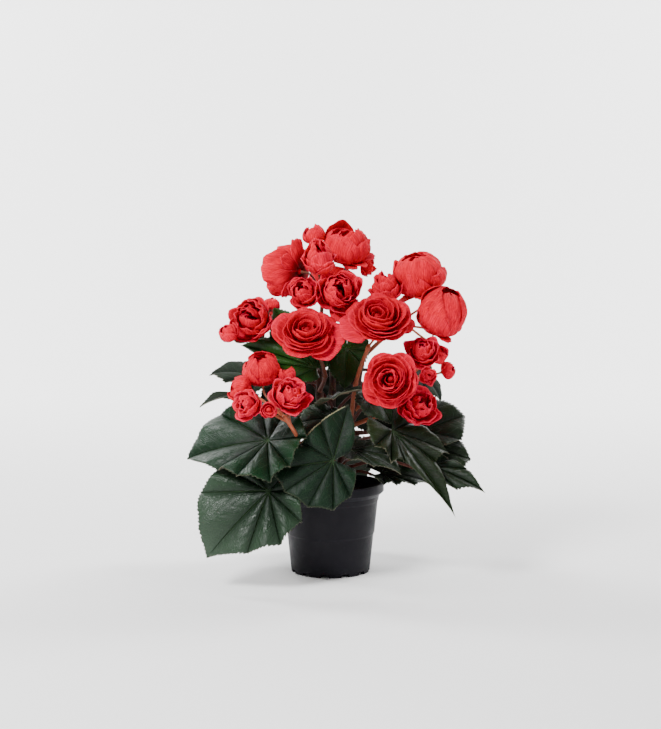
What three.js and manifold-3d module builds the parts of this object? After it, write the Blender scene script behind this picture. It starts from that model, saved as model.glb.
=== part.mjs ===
// A double-flowered begonia in a round plastic nursery pot: a ribbed pot on a notched foot, soil,
// branching reddish stems, serrated heart-shaped leaves and rose-like blooms in loose clusters.
// Millimetres, +Z up, the origin on the ground below the pot's axis; the plant's face looks along -Y.
import * as THREE from "three";
import { mergeVertices } from "three/addons/utils/BufferGeometryUtils.js";
import Module from "manifold-3d";

const wasm = await Module();
wasm.setup();

// Driving dimensions
const POT = {
  height: 100,
  rimRadius: 60,
  rimDepth: 9,
  neckRadius: 54.6,
  baseRadius: 44,
  wall: 1.4,
  rib: 0.7,
  foot: 4,
  floor: 2,
  sides: 36,
};
const SOIL = { top: 86, bump: 2.5, gap: 0.4 };
const CROWN = { radius: 12.5, bottom: 58, top: 94 };
const BLADE = 0.9; // thickness of a leaf
const PETAL = 0.9; // thickness of a petal
const SEAT_GAP = 0.35; // clearance between a stalk's end and what it carries

const COLOURS = {
  pot: { color: 0x2b2a30, roughness: 0.62 },
  soil: { color: 0x2a1c12, roughness: 0.95 },
  stem: { color: 0x8a4a38, roughness: 0.55 },
  leaf: { color: 0x2c4a30, roughness: 0.5 },
  petal: { color: 0xdc2f38, roughness: 0.75 },
};
const materials = Object.fromEntries(
  Object.entries(COLOURS).map(([name, look]) => [
    name,
    new THREE.MeshStandardMaterial({ ...look, metalness: 0 }),
  ]),
);

const vec = (p) => new THREE.Vector3(...p);
const radians = THREE.MathUtils.degToRad;
const mix = THREE.MathUtils.lerp;
// A repeatable number from 0 to 1 for each seed.
const draw = (seed) => {
  const x = Math.sin(seed * 12.9898) * 43758.5453;
  return x - Math.floor(x);
};

// Solids

// A closed manifold-3d solid from vertices and triangles, turned to face outwards.
function solidFrom(positions, triangles) {
  const kept = triangles.filter(([a, b, c]) => a !== b && b !== c && a !== c);
  const make = (list) =>
    new wasm.Manifold(
      new wasm.Mesh({
        numProp: 3,
        vertProperties: new Float32Array(positions.flat()),
        triVerts: new Uint32Array(list.flat()),
      }),
    );
  const made = make(kept);
  return made.volume() >= 0 ? made : make(kept.map(([a, b, c]) => [a, c, b]));
}

function solidOf(geometry) {
  const bare = geometry.clone();
  bare.deleteAttribute("normal");
  bare.deleteAttribute("uv");
  const merged = mergeVertices(bare, 1e-4);
  const at = merged.attributes.position;
  const positions = Array.from({ length: at.count }, (_, i) => [
    at.getX(i),
    at.getY(i),
    at.getZ(i),
  ]);
  const index = merged.index.array;
  const triangles = [];
  for (let i = 0; i < index.length; i += 3) {
    triangles.push([index[i], index[i + 1], index[i + 2]]);
  }
  return solidFrom(positions, triangles);
}

function geometryOf(solid) {
  const mesh = solid.getMesh();
  const count = mesh.vertProperties.length / mesh.numProp;
  const positions = new Float32Array(count * 3);
  for (let i = 0; i < count; i++) {
    positions.set(mesh.vertProperties.subarray(i * mesh.numProp, i * mesh.numProp + 3), i * 3);
  }
  const geometry = new THREE.BufferGeometry();
  geometry.setAttribute("position", new THREE.BufferAttribute(positions, 3));
  geometry.setIndex(new THREE.BufferAttribute(mesh.triVerts, 1));
  geometry.computeVertexNormals();
  return geometry;
}

const joined = (solids) => solids.reduce((whole, one) => whole.add(one));

function surfaceNormals(points, triangles) {
  const normals = points.map(() => new THREE.Vector3());
  for (const [a, b, c] of triangles) {
    const face = new THREE.Vector3()
      .subVectors(points[b], points[a])
      .cross(new THREE.Vector3().subVectors(points[c], points[a]));
    for (const i of [a, b, c]) normals[i].add(face);
  }
  return normals.map((n) => n.normalize());
}

// A thin closed blade: the surface, moved half the thickness to each side, with walls round its edge.
function blade(points, triangles, thickness) {
  const normals = surfaceNormals(points, triangles);
  const side = (sign) =>
    points.map((p, i) => p.clone().addScaledVector(normals[i], (sign * thickness) / 2).toArray());
  const count = points.length;
  const directed = new Set(
    triangles.flatMap(([a, b, c]) => [`${a},${b}`, `${b},${c}`, `${c},${a}`]),
  );
  const walls = [...directed]
    .map((edge) => edge.split(",").map(Number))
    .filter(([a, b]) => !directed.has(`${b},${a}`))
    .flatMap(([a, b]) => [
      [b, a, a + count],
      [b, a + count, b + count],
    ]);
  const under = triangles.map(([a, b, c]) => [a + count, c + count, b + count]);
  return solidFrom([...side(1), ...side(-1)], [...triangles, ...under, ...walls]);
}

// A round tube along a smooth curve through the points, tapering from one radius to the other.
function tube(path, startRadius, endRadius, sides, steps) {
  const curve = new THREE.CatmullRomCurve3(path, false, "centripetal");
  const frames = curve.computeFrenetFrames(steps, false);
  const positions = [];
  for (let i = 0; i <= steps; i++) {
    const centre = curve.getPointAt(i / steps);
    const radius = mix(startRadius, endRadius, i / steps);
    for (let j = 0; j < sides; j++) {
      const turn = (j / sides) * 2 * Math.PI;
      const point = centre
        .clone()
        .addScaledVector(frames.normals[i], radius * Math.cos(turn))
        .addScaledVector(frames.binormals[i], radius * Math.sin(turn));
      positions.push(point.toArray());
    }
  }
  const triangles = [];
  for (let i = 0; i < steps; i++) {
    for (let j = 0; j < sides; j++) {
      const [a, b] = [i * sides + j, i * sides + ((j + 1) % sides)];
      triangles.push([a, b, b + sides], [a, b + sides, a + sides]);
    }
  }
  for (let j = 1; j < sides - 1; j++) {
    const last = steps * sides;
    triangles.push([0, j + 1, j], [last, last + j, last + j + 1]);
  }
  return solidFrom(positions, triangles);
}

// Pot and soil

function turned(profile) {
  const points = profile.map(([r, z]) => new THREE.Vector2(r, z));
  return new THREE.LatheGeometry(points, POT.sides).rotateX(Math.PI / 2);
}

// Radius of the pot's outer wall at a height, without its ribs.
const wallRadius = (z) => mix(POT.baseRadius, POT.neckRadius, z / (POT.height - 14));

function potSolid() {
  const { height, rimRadius, rimDepth, wall, rib, foot, floor } = POT;
  const neck = height - 14;
  const outer = [
    [wallRadius(0), 0],
    [wallRadius(42) - rib, 42],
    [wallRadius(44), 44],
    [wallRadius(79) - rib, 79],
    [wallRadius(81), 81],
    [wallRadius(neck), neck],
    [rimRadius, height - rimDepth],
    [rimRadius - 0.4, height],
  ];
  const inner = [
    [rimRadius - wall - 1, height],
    [rimRadius - wall - 1.4, height - rimDepth + 2],
    [wallRadius(neck) - wall - 0.6, neck],
    [wallRadius(foot + floor) - wall - 0.6, foot + floor],
    [0, foot + floor],
  ];
  const under = [
    [0, foot],
    [wallRadius(0) - 5, foot],
    [wallRadius(0) - 4, 0],
  ];
  let pot = solidOf(turned([...under, ...outer, ...inner]));
  const feet = 12;
  for (let i = 0; i < feet; i++) {
    const notch = new THREE.BoxGeometry(12, 9, 2 * (foot - 0.6));
    notch.translate(POT.baseRadius - 1, 0, 0);
    notch.rotateZ(((i + 0.72) / feet) * 2 * Math.PI);
    pot = pot.subtract(solidOf(notch));
  }
  const drains = 4;
  for (let i = 0; i < drains; i++) {
    const hole = new THREE.CylinderGeometry(4, 4, 4 * floor, 8).rotateX(Math.PI / 2);
    hole.translate(28, 0, foot + floor / 2);
    hole.rotateZ((i / drains) * 2 * Math.PI);
    pot = pot.subtract(solidOf(hole));
  }
  return pot;
}

function soilSolid() {
  const { foot, floor, wall } = POT;
  const inside = (z) => wallRadius(z) - wall - 0.6 - SOIL.gap;
  const bottom = foot + floor + SOIL.gap;
  const profile = [
    [0, bottom],
    [inside(bottom), bottom],
    [inside(SOIL.top - 5), SOIL.top - 5],
    [inside(SOIL.top) - 6, SOIL.top],
    [22, SOIL.top],
    [0, SOIL.top],
  ];
  const geometry = turned(profile);
  const at = geometry.attributes.position;
  for (let i = 0; i < at.count; i++) {
    const [x, y, z] = [at.getX(i), at.getY(i), at.getZ(i)];
    const bump = Math.sin(x * 0.31 + 1) * Math.cos(y * 0.27) + 0.5 * Math.sin(0.6 * y - 0.4 * x);
    if (z > SOIL.top - 1) at.setZ(i, z + SOIL.bump * bump * 0.6);
  }
  const hole = new THREE.CylinderGeometry(
    CROWN.radius + SOIL.gap,
    CROWN.radius + SOIL.gap,
    2 * (SOIL.top + 10 - CROWN.bottom),
    12,
  ).rotateX(Math.PI / 2);
  hole.translate(0, 0, SOIL.top + 10 - SOIL.gap);
  return solidOf(geometry).subtract(solidOf(hole));
}

// Leaves: each lies from the point where its stalk meets it to the tip of its longest lobe, and its
// upper face looks along normal. veins gives the angle of each main vein from the longest, in
// degrees, and its share of the longest one's length. arch lifts the middle of the leaf, cup folds
// it up along the longest vein and fall lets its sides hang. from is the main stem that carries it
// and the share of that stem's height, and point how rounded its lobes are, slimmest near 0.
const LEAVES = [
  { name: "left_upper", stalk: [-66, -80, 157], tip: [-157, -40, 131], normal: [-0.45, -0.55, 0.7],
    veins: [[-155, 0.36], [-107, 0.46], [-71, 0.66], [-38, 0.85], [0, 1], [32, 0.6], [62, 0.53],
      [100, 0.55], [128, 0.46], [155, 0.34]],
    arch: 0.05, cup: 0.03, fall: 0.05, from: [0, 0.34] },
  { name: "left_lower", stalk: [-65, -92, 105], tip: [-131, -96, 34], normal: [-0.3, -0.88, 0.35],
    veins: [[-170, 0.26], [-98, 0.42], [-74, 0.64], [-46, 0.8], [0, 1], [28, 0.72], [60, 0.62],
      [92, 0.51], [135, 0.34], [172, 0.26]],
    arch: 0.04, cup: 0.03, fall: 0.05, from: [0, 0.2], bow: 18 },
  { name: "front", stalk: [3, -88, 137], tip: [-64, -100, 121], normal: [0.1, -0.93, 0.36],
    veins: [[-165, 0.3], [-121, 0.96], [-88, 0.64], [-45, 0.56], [-5, 1], [18, 0.89], [46, 0.82],
      [74, 0.77], [100, 0.62], [145, 0.36]],
    arch: 0.05, cup: 0.02, fall: 0.08, from: [0, 0.26] },
  { name: "front_rear", stalk: [5, -50, 177], tip: [-31, -64, 157], normal: [-0.2, -0.7, 0.7],
    veins: [[-155, 0.2], [-99, 0.4], [-62, 0.72], [-30, 0.8], [0, 1], [28, 0.7], [80, 0.5], [140, 0.3]],
    arch: 0.06, cup: 0.05, fall: 0.05, from: [0, 0.42] },
  { name: "centre_shelf", stalk: [-2, -40, 196], tip: [40, -68, 210], normal: [0.05, -0.2, 0.97],
    veins: [[-150, 0.3], [-98, 0.42], [-46, 0.55], [0, 1], [46, 0.45], [98, 0.3], [150, 0.2]],
    arch: 0.05, cup: 0.06, fall: 0.05, from: [0, 0.55] },
  { name: "centre_right", stalk: [47, -34, 200], tip: [66, -48, 170], normal: [0.3, -0.75, 0.6],
    veins: [[-150, 0.5], [-98, 0.65], [-55, 0.75], [0, 1], [54, 0.7], [100, 0.6], [150, 0.4]],
    arch: 0.06, cup: 0.06, fall: 0.05, from: [1, 0.55] },
  { name: "right_drooping", stalk: [66, -66, 166], tip: [132, -98, 78], normal: [0.3, -0.8, 0.52],
    veins: [[-160, 0.26], [-80, 0.28], [-44, 0.38], [-22, 0.34], [0, 1], [16, 0.5], [34, 0.58], [84, 0.22],
      [140, 0.3]],
    arch: 0.05, cup: 0.06, fall: 0.05, from: [1, 0.42], point: 0.6 },
  { name: "right_upper", stalk: [102, -40, 161], tip: [149, -22, 177], normal: [0.1, -0.75, 0.65],
    veins: [[-155, 0.36], [-85, 0.5], [-40, 0.8], [0, 1], [36, 0.92], [80, 0.7], [140, 0.4]],
    arch: 0.06, cup: 0.04, fall: 0.05, from: [1, 0.5] },
  { name: "right_middle", stalk: [112, -38, 143], tip: [154, -42, 131], normal: [0.1, -0.85, 0.5],
    veins: [[-150, 0.4], [-85, 0.5], [-22, 0.95], [0, 1], [30, 0.76], [80, 0.6], [140, 0.4]],
    arch: 0.06, cup: 0.05, fall: 0.05, from: [1, 0.36] },
  { name: "right_long", stalk: [104, -59, 126], tip: [163, -95, 104], normal: [0.1, -0.8, 0.6],
    veins: [[-130, 0.12], [-60, 0.16], [-17, 0.7], [0, 1], [16, 0.66], [36, 0.36], [110, 0.14]],
    arch: 0.08, cup: 0.06, fall: 0.05, from: [1, 0.28], bow: 12 },
  { name: "right_low", stalk: [56, -22, 113], tip: [110, -18, 100], normal: [0.2, -0.4, 0.9],
    veins: [[-150, 0.3], [-80, 0.36], [-48, 0.5], [-22, 0.75], [0, 1], [30, 0.9], [75, 0.7],
      [140, 0.4]],
    arch: 0.06, cup: 0.03, fall: 0.05, from: [1, 0.2], bow: 10, rise: 5 },
  { name: "inner_right", stalk: [22, -54, 143], tip: [76, -78, 120], normal: [0.15, -0.5, 0.85],
    veins: [[-140, 0.3], [-62, 0.38], [-20, 0.6], [0, 1], [20, 0.75], [50, 0.5], [130, 0.25]],
    arch: 0.06, cup: 0.06, fall: 0.05, from: [1, 0.26] },
  { name: "left_back_dark", stalk: [-82, 14, 216], tip: [-139, 34, 217], normal: [-0.1, -0.3, 0.95],
    arch: 0.08, cup: 0.06, fall: 0.1, from: [0, 0.75] },
  { name: "left_back_curled", stalk: [-92, -2, 195], tip: [-146, -14, 185], normal: [-0.1, -0.15, 1],
    veins: [[-150, 0.3], [-98, 0.4], [-40, 0.5], [0, 1], [40, 0.5], [98, 0.4], [150, 0.3]],
    arch: 0.1, cup: 0.1, fall: 0.1, from: [0, 0.55] },
  { name: "left_behind", stalk: [-76, -24, 171], tip: [-131, -20, 156], normal: [-0.3, -0.75, 0.6],
    veins: [[-155, 0.3], [-90, 0.4], [-52, 0.6], [-20, 0.72], [0, 1], [43, 0.66], [90, 0.5], [150, 0.4]],
    arch: 0.06, cup: 0.05, fall: 0.05, from: [0, 0.44] },
  { name: "upper_mid", stalk: [-16, -28, 230], tip: [-100, -6, 254], normal: [-0.15, -0.88, 0.45],
    veins: [[-155, 0.14], [-95, 0.3], [-62, 0.6], [-37, 1], [-16, 0.72], [0, 1], [14, 0.62], [50, 0.36],
      [130, 0.12]],
    arch: 0.04, cup: 0.03, fall: 0.05, from: [0, 0.8] },
  { name: "centre_upright", stalk: [18, -12, 250], tip: [15, -32, 206], normal: [0.1, -0.9, 0.4],
    veins: [[-150, 0.26], [-98, 0.42], [-50, 0.58], [0, 1], [50, 0.5], [98, 0.4], [150, 0.3]],
    arch: 0.06, cup: 0.06, fall: 0.1, from: [1, 0.8] },
  { name: "right_behind", stalk: [98, 30, 224], tip: [126, 30, 186], normal: [0.5, -0.4, 0.75],
    arch: 0.08, cup: 0.05, fall: 0.1, from: [2, 0.8] },
  { name: "right_rear", stalk: [82, 30, 152], tip: [146, 66, 138], normal: [0.25, 0.1, 0.95],
    arch: 0.08, cup: 0.05, fall: 0.1, from: [2, 0.46] },
  { name: "back_inner", stalk: [39, 52, 206], tip: [56, 69, 140], normal: [0.2, 0.8, 0.5],
    veins: [[-150, 0.36], [-98, 0.5], [-46, 0.64], [0, 1], [46, 0.6], [98, 0.5], [150, 0.4]],
    arch: 0.08, cup: 0.05, fall: 0.1, from: [2, 0.55] },
  { name: "back_left", stalk: [-62, 58, 146], tip: [-160, 76, 124], normal: [-0.4, 0.3, 0.86],
    veins: [[-150, 0.4], [-98, 0.5], [-46, 0.64], [0, 1], [46, 0.68], [98, 0.56], [150, 0.4]],
    arch: 0.08, cup: 0.05, fall: 0.1, from: [2, 0.35] },
  { name: "back_middle", stalk: [4, 84, 122], tip: [-10, 122, 52], normal: [0, 0.8, 0.6],
    arch: 0.06, cup: 0.04, fall: 0.1, from: [2, 0.22] },
  { name: "back_right", stalk: [68, 74, 132], tip: [113, 118, 98], normal: [0.4, 0.45, 0.8],
    arch: 0.08, cup: 0.05, fall: 0.1, from: [2, 0.4] },
  { name: "back_upper", stalk: [-23, 62, 211], tip: [-55, 78, 150], normal: [-0.2, 0.8, 0.5],
    arch: 0.08, cup: 0.05, fall: 0.1, from: [2, 0.6] },
];
const COMMON_VEINS = [
  [-150, 0.46], [-98, 0.62], [-46, 0.74], [0, 1], [46, 0.68], [98, 0.56], [150, 0.4]];
const EDGE_STEPS = 4; // points of the edge between one main vein and the next
const TOOTH = 0.04; // depth of the notches in the edge
const DIP = 0.04; // depth of the bays between the lobes

// The edge between two veins: angle and distance from the stalk, as a share of the leaf's length.
function edgeAt({ veins, point = 0.8 }, step) {
  const k = Math.min(Math.floor(step / EDGE_STEPS), veins.length - 2);
  const part = step / EDGE_STEPS - k;
  const [[fromAngle, from], [toAngle, to]] = [veins[k], veins[k + 1]];
  const eased = from > to ? part ** point : 1 - (1 - part) ** point;
  return {
    angle: radians(mix(fromAngle, toAngle, part)),
    reach: mix(from, to, eased) * (1 - DIP * Math.sin(Math.PI * part)),
    between: Math.sin(Math.PI * part),
  };
}

// A leaf's own axes: along the main vein, across, and up out of the upper face.
function leafAxes({ stalk, tip, normal }) {
  const along = vec(tip).sub(vec(stalk));
  const length = along.length();
  along.normalize();
  const up = vec(normal);
  up.addScaledVector(along, -up.dot(along)).normalize();
  return { along, across: new THREE.Vector3().crossVectors(up, along), up, length };
}

// The point of a leaf's surface at a step of its edge and a share of the way out to it.
function leafPoint(leaf, axes, step, share, notch) {
  const { angle, reach, between } = edgeAt(leaf, step);
  const u = share * (reach - notch) * Math.cos(angle);
  const v = share * (reach - notch) * Math.sin(angle);
  const rise = u > 0 ? 4 * u * (1 - u) : 4 * u * (1 + 0.5 * u);
  const ripple = Math.sin(angle) * Math.sin(2.6 * angle + 6 * leaf.phase);
  const z =
    leaf.arch * rise +
    leaf.cup * Math.abs(v) -
    leaf.fall * v * v * 2 +
    0.07 * share * between +
    0.04 * share ** 3 * ripple;
  return vec(leaf.stalk)
    .addScaledVector(axes.along, u * axes.length)
    .addScaledVector(axes.across, v * axes.length)
    .addScaledVector(axes.up, z * axes.length);
}

function leafSolid(leaf) {
  const axes = leafAxes(leaf);
  const points = [vec(leaf.stalk)];
  const inner = [];
  const outer = [];
  for (let step = 0; step <= (leaf.veins.length - 1) * EDGE_STEPS; step++) {
    const notched = step % 2;
    if (!notched) inner.push(points.push(leafPoint(leaf, axes, step, 0.52, 0)) - 1);
    outer.push(points.push(leafPoint(leaf, axes, step, 1, notched * TOOTH)) - 1);
  }
  const triangles = [];
  for (let k = 0; k < inner.length - 1; k++) {
    const [near, far] = [inner[k], inner[k + 1]];
    const [a, b, c] = outer.slice(2 * k, 2 * k + 3);
    triangles.push([0, near, far], [near, a, b], [near, b, far], [far, b, c]);
  }
  return blade(points, triangles, BLADE);
}

// Blooms: centre is the middle of the flower, facing the way that it looks, open from 0, shut, to
// 1, wide, and cluster the stalk that carries it. tall stretches it along its axis.
const BLOOMS = [
  { name: "top_left", centre: [-46, -10, 338], facing: [-0.75, 0.5, 0.15],
    radius: 32, open: 0.5, form: "cup", cluster: "top" },
  { name: "top_middle", centre: [-13, -37, 347], facing: [-0.1, -0.6, 0.8],
    radius: 20, open: 0.35, tall: 1.35, form: "small", cluster: "top" },
  { name: "top_bud", centre: [-18, 0, 374], facing: [-0.1, 0, 1],
    radius: 9.5, open: 0, form: "bud", cluster: "top" },
  { name: "top_right", centre: [18, 2, 359], facing: [0.1, -0.4, 0.9],
    radius: 27, open: 0.45, tall: 1.45, form: "cup", cluster: "top" },
  { name: "top_side", centre: [42, 16, 342], facing: [0.9, -0.1, -0.1],
    radius: 12, open: 0.1, form: "small", cluster: "top" },
  { name: "top_small", centre: [-29, -48, 314], facing: [-0.25, -0.8, 0.35],
    radius: 19, open: 0.35, form: "small", cluster: "top" },
  { name: "top_front", centre: [10, -46, 315], facing: [0.15, -0.85, 0.4],
    radius: 27, open: 0.5, form: "small", cluster: "top" },
  { name: "left", centre: [-87, -20, 284], facing: [-0.3, -0.8, 0.4],
    radius: 27, open: 0.4, form: "rose", cluster: "left" },
  { name: "left_small", centre: [-110, -42, 270], facing: [-0.5, -0.5, 0.7],
    radius: 10, open: 0.3, form: "bud", cluster: "left" },
  { name: "left_rear", centre: [-66, 16, 298], facing: [0.3, 0.3, 0.8],
    radius: 8, open: 0.1, form: "bud", cluster: "left" },
  { name: "rose_left", centre: [-28, -82, 273], facing: [-0.05, -0.75, 0.66],
    radius: 34, open: 0.95, form: "rose", cluster: "rose_left" },
  { name: "rose_right", centre: [53, -78, 287], facing: [0.05, -0.74, 0.67],
    radius: 35, open: 0.9, form: "rose", cluster: "rose_right" },
  { name: "right_small", centre: [60, -18, 314], facing: [-0.1, -0.3, 0.9],
    radius: 19, open: 0.4, tall: 1.3, form: "small", cluster: "right" },
  { name: "right_top", centre: [99, 6, 326], facing: [-0.25, -0.3, 0.9],
    radius: 28, open: 0.3, tall: 1.2, form: "cup", cluster: "right" },
  { name: "right_side", centre: [119, -22, 283], facing: [0.3, -0.35, 0.85],
    radius: 25, open: 0.2, tall: 1.5, form: "cup", cluster: "right" },
  { name: "right_bud", centre: [141, 20, 276], facing: [0.8, 0.1, 0.5],
    radius: 7.5, open: 0.1, form: "bud", cluster: "right" },
  { name: "middle_open", centre: [99, -56, 251], facing: [-0.1, -0.8, 0.5],
    radius: 20, open: 0.5, form: "small", cluster: "middle" },
  { name: "middle_small", centre: [117, -40, 248], facing: [0.6, -0.5, 0.6],
    radius: 11, open: 0.3, form: "bud", cluster: "middle" },
  { name: "middle_bud", centre: [128, -33, 228], facing: [0.9, -0.2, 0.3],
    radius: 8, open: 0.1, form: "bud", cluster: "middle" },
  { name: "middle_round", centre: [104, -72, 225], facing: [0.2, -0.9, 0.2],
    radius: 10, open: 0.6, form: "small", cluster: "middle" },
  { name: "rose_low", centre: [61, -102, 224], facing: [-0.3, -0.94, 0.15],
    radius: 31, open: 0.85, form: "rose", cluster: "middle" },
  { name: "low_right", centre: [93, -72, 193], facing: [0.3, -0.8, 0.5],
    radius: 25, open: 0.6, form: "small", cluster: "low_right" },
  { name: "low_tall", centre: [-74, -50, 227], facing: [-0.05, -0.4, 0.9],
    radius: 18, open: 0.1, tall: 1.2, form: "cup", cluster: "low" },
  { name: "low_side", centre: [-96, -68, 211], facing: [-0.8, -0.4, 0.4],
    radius: 15, open: 0.15, form: "cup", cluster: "low" },
  { name: "low_left", centre: [-88, -94, 197], facing: [-0.4, -0.85, 0.2],
    radius: 17, open: 0.4, form: "small", cluster: "low" },
  { name: "low_round", centre: [-64, -108, 193], facing: [0, -0.9, 0.3],
    radius: 8.5, open: 0.6, form: "bud", cluster: "low" },
  { name: "low_rose", centre: [-43, -91, 206], facing: [0.15, -0.75, 0.6],
    radius: 23, open: 0.55, form: "small", cluster: "low" },
  { name: "low_rear", centre: [-47, -54, 226], facing: [0.15, -0.1, 0.95],
    radius: 9, open: 0.3, form: "bud", cluster: "low" },
  { name: "back_top", centre: [4, 64, 318], facing: [0.1, 0.8, 0.6],
    radius: 32, open: 0.9, form: "rose", cluster: "back" },
  { name: "back_left", centre: [-84, 50, 280], facing: [-0.6, 0.7, 0.4],
    radius: 24, open: 0.7, form: "rose", cluster: "back" },
  { name: "back_right", centre: [58, 64, 284], facing: [0.5, 0.75, 0.4],
    radius: 30, open: 0.8, form: "rose", cluster: "back" },
  { name: "back_low", centre: [-26, 92, 260], facing: [-0.1, 0.95, 0.25],
    radius: 28, open: 0.9, form: "rose", cluster: "back" },
];

// Layers of petals round the heart, from the outermost in: how deep inside the flower, from 0 to 1,
// how far the rim stands from the axis and over the seat in a flower that is wide open, as shares
// of its radius, the rim's lean from the axis in degrees, and how many strips a petal has.
const LAYERS = {
  rose: [
    { depth: 0, reach: 1, height: 0.28, lean: 66, strips: 3 },
    { depth: 0.5, reach: 0.76, height: 0.53, lean: 28, strips: 3 },
    { depth: 1, reach: 0.5, height: 0.63, lean: 4, strips: 2 },
  ],
  cup: [
    { depth: 0, reach: 0.8, height: 0.68, lean: 4, strips: 3 },
    { depth: 1, reach: 0.46, height: 0.66, lean: -4, strips: 3 },
  ],
  small: [{ depth: 0.1, reach: 1, height: 0.34, lean: 60, strips: 3 }],
  bud: [],
};
const PETALS = 4; // in a layer
const PETAL_ROWS = 2;
const SPREAD = 0.95; // share of its sector that a petal spans

// The heart: petals still rolled round each other, their free edges standing out as steps that wind
// up to the tip. Rings give its radius and height as shares of the flower's radius, from the seat up;
// the petals grow out of the facets between the lower rings.
const HEART_SIDES = 2 * PETALS;
const HEART_RINGS = {
  rose: [[0.1, 0], [0.16, 0.06], [0.19, 0.12], [0.2, 0.18], [0.2, 0.24], [0.17, 0.42], [0.07, 0.56]],
  cup: [[0.1, 0], [0.16, 0.06], [0.19, 0.12], [0.2, 0.18], [0.18, 0.45], [0.07, 0.6]],
  small: [[0.14, 0], [0.25, 0.1], [0.3, 0.2], [0.32, 0.5], [0.12, 0.85]],
  bud: [[0.35, 0], [0.85, 0.45], [1, 1], [0.75, 1.6], [0.28, 1.95]],
};

function bloomAxes({ facing, phase }) {
  const out = vec(facing).normalize();
  const upright = new THREE.Vector3(0, 0, 1);
  const spin = new THREE.Quaternion().setFromAxisAngle(upright, 2 * Math.PI * phase);
  return new THREE.Quaternion().setFromUnitVectors(upright, out).multiply(spin);
}

// The point where the stalk meets the flower, behind its centre.
function bloomSeat({ centre, facing, radius, open, form }) {
  const back = form === "bud" ? 0.95 : mix(0.8, 0.33, open);
  return vec(centre).addScaledVector(vec(facing).normalize(), -back * radius);
}

// The curve of a petal from its root to the rim, in distances from the flower's axis and heights.
// In a flower that is less than wide open the rim is closer in, higher and leans in.
function petalCurve({ radius, open, tall = 1 }, root, { depth, reach, height, lean }) {
  const shut = 1 - open;
  const rim = [reach * mix(1, 0.86, shut) * radius, tall * (height + 0.62 * shut) * radius];
  const leave = radians(mix(84, 45, depth));
  const arrive = radians(lean - 55 * shut);
  const pull = mix(0.62, 0.42, open) * Math.hypot(rim[0] - root[0], rim[1] - root[1]);
  return new THREE.CubicBezierCurve(
    new THREE.Vector2(...root),
    new THREE.Vector2(root[0] + pull * Math.sin(leave), root[1] + pull * Math.cos(leave)),
    new THREE.Vector2(rim[0] - pull * Math.sin(arrive), rim[1] - pull * Math.cos(arrive)),
    new THREE.Vector2(...rim),
  );
}

// A point of a petal: across from -1 to 1 and along from 0 to 1. One edge lies outwards of the
// next petal.
function petalPoint({ radius, open }, curve, depth, middle, across, along) {
  const t = along * (1 - mix(0.3, 0.14, depth) * Math.abs(across) ** 2.6);
  const lap = mix(0.05, 0.035, open) * radius * across * Math.min(1, 2 * t);
  const turn = middle + (Math.PI / PETALS) * SPREAD * across;
  const { x, y } = curve.getPoint(t);
  return new THREE.Vector3((x + lap) * Math.cos(turn), (x + lap) * Math.sin(turn), y);
}

// The middle surface of a petal: the first two points lie on the heart, the rest in rows across.
function petalSurface(bloom, root, layer, middle) {
  const { depth, strips } = layer;
  const curve = petalCurve(bloom, root, layer);
  const half = Math.PI / HEART_SIDES;
  const points = [-half, half].map((turn) =>
    new THREE.Vector3(
      root[0] * Math.cos(middle + turn), root[0] * Math.sin(middle + turn), root[1]));
  for (let j = 1; j <= PETAL_ROWS; j++) {
    for (let i = 0; i <= strips; i++) {
      const across = (2 * i) / strips - 1;
      points.push(petalPoint(bloom, curve, depth, middle, across, j / PETAL_ROWS));
    }
  }
  const triangles = [];
  const split = Math.ceil(strips / 2);
  for (let i = 0; i < strips; i++) {
    triangles.push([i < split ? 0 : 1, 2 + i, 3 + i]);
    for (let j = 0; j < PETAL_ROWS - 1; j++) {
      const a = 2 + j * (strips + 1) + i;
      const c = a + strips + 1;
      triangles.push([a, c, a + 1], [a + 1, c, c + 1]);
    }
  }
  triangles.push([0, 2 + split, 1]);
  return { points, triangles };
}

// A flower is one closed skin: the heart, with petals drawn out of its facets.
function bloomSolid(bloom) {
  const { form, radius, tall = 1 } = bloom;
  const rings = HEART_RINGS[form].map(([wide, high]) => [wide * radius, high * radius * tall]);
  const layers = LAYERS[form];
  const positions = rings.flatMap(([wide, high], k) =>
    Array.from({ length: HEART_SIDES }, (_, j) => {
      const swell = k > layers.length + 1 || form === "bud" ? 0.24 : 0;
      const step = 1 + swell * (((j + 3 * k) % 4) / 3 - 0.5);
      const turn = ((j + (swell ? 0.3 * k : 0)) / HEART_SIDES) * 2 * Math.PI;
      return new THREE.Vector3(
        wide * step * Math.cos(turn), wide * step * Math.sin(turn), high);
    }),
  );
  const triangles = [];
  for (let k = 0; k < rings.length - 1; k++) {
    const layer = layers[k - 1];
    for (let j = 0; j < HEART_SIDES; j++) {
      const next = (j + 1) % HEART_SIDES;
      const low = [k * HEART_SIDES + j, k * HEART_SIDES + next];
      const high = low.map((i) => i + HEART_SIDES);
      if (layer && (j + k) % 2) {
        const root = [0, 1].map((i) => (rings[k][i] + rings[k + 1][i]) / 2);
        const middle = ((j + 0.5) / HEART_SIDES) * 2 * Math.PI;
        growPetal(positions, triangles, low, high, petalSurface(bloom, root, layer, middle));
      } else {
        triangles.push([low[0], low[1], high[1]], [low[0], high[1], high[0]]);
      }
    }
  }
  const last = (rings.length - 1) * HEART_SIDES;
  for (let j = 1; j < HEART_SIDES - 1; j++) {
    triangles.push([0, j + 1, j], [last, last + j, last + j + 1]);
  }
  const place = new THREE.Matrix4().compose(
    bloomSeat(bloom), bloomAxes(bloom), new THREE.Vector3(1, 1, 1));
  return solidFrom(positions.map((p) => p.applyMatrix4(place).toArray()), triangles);
}

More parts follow.
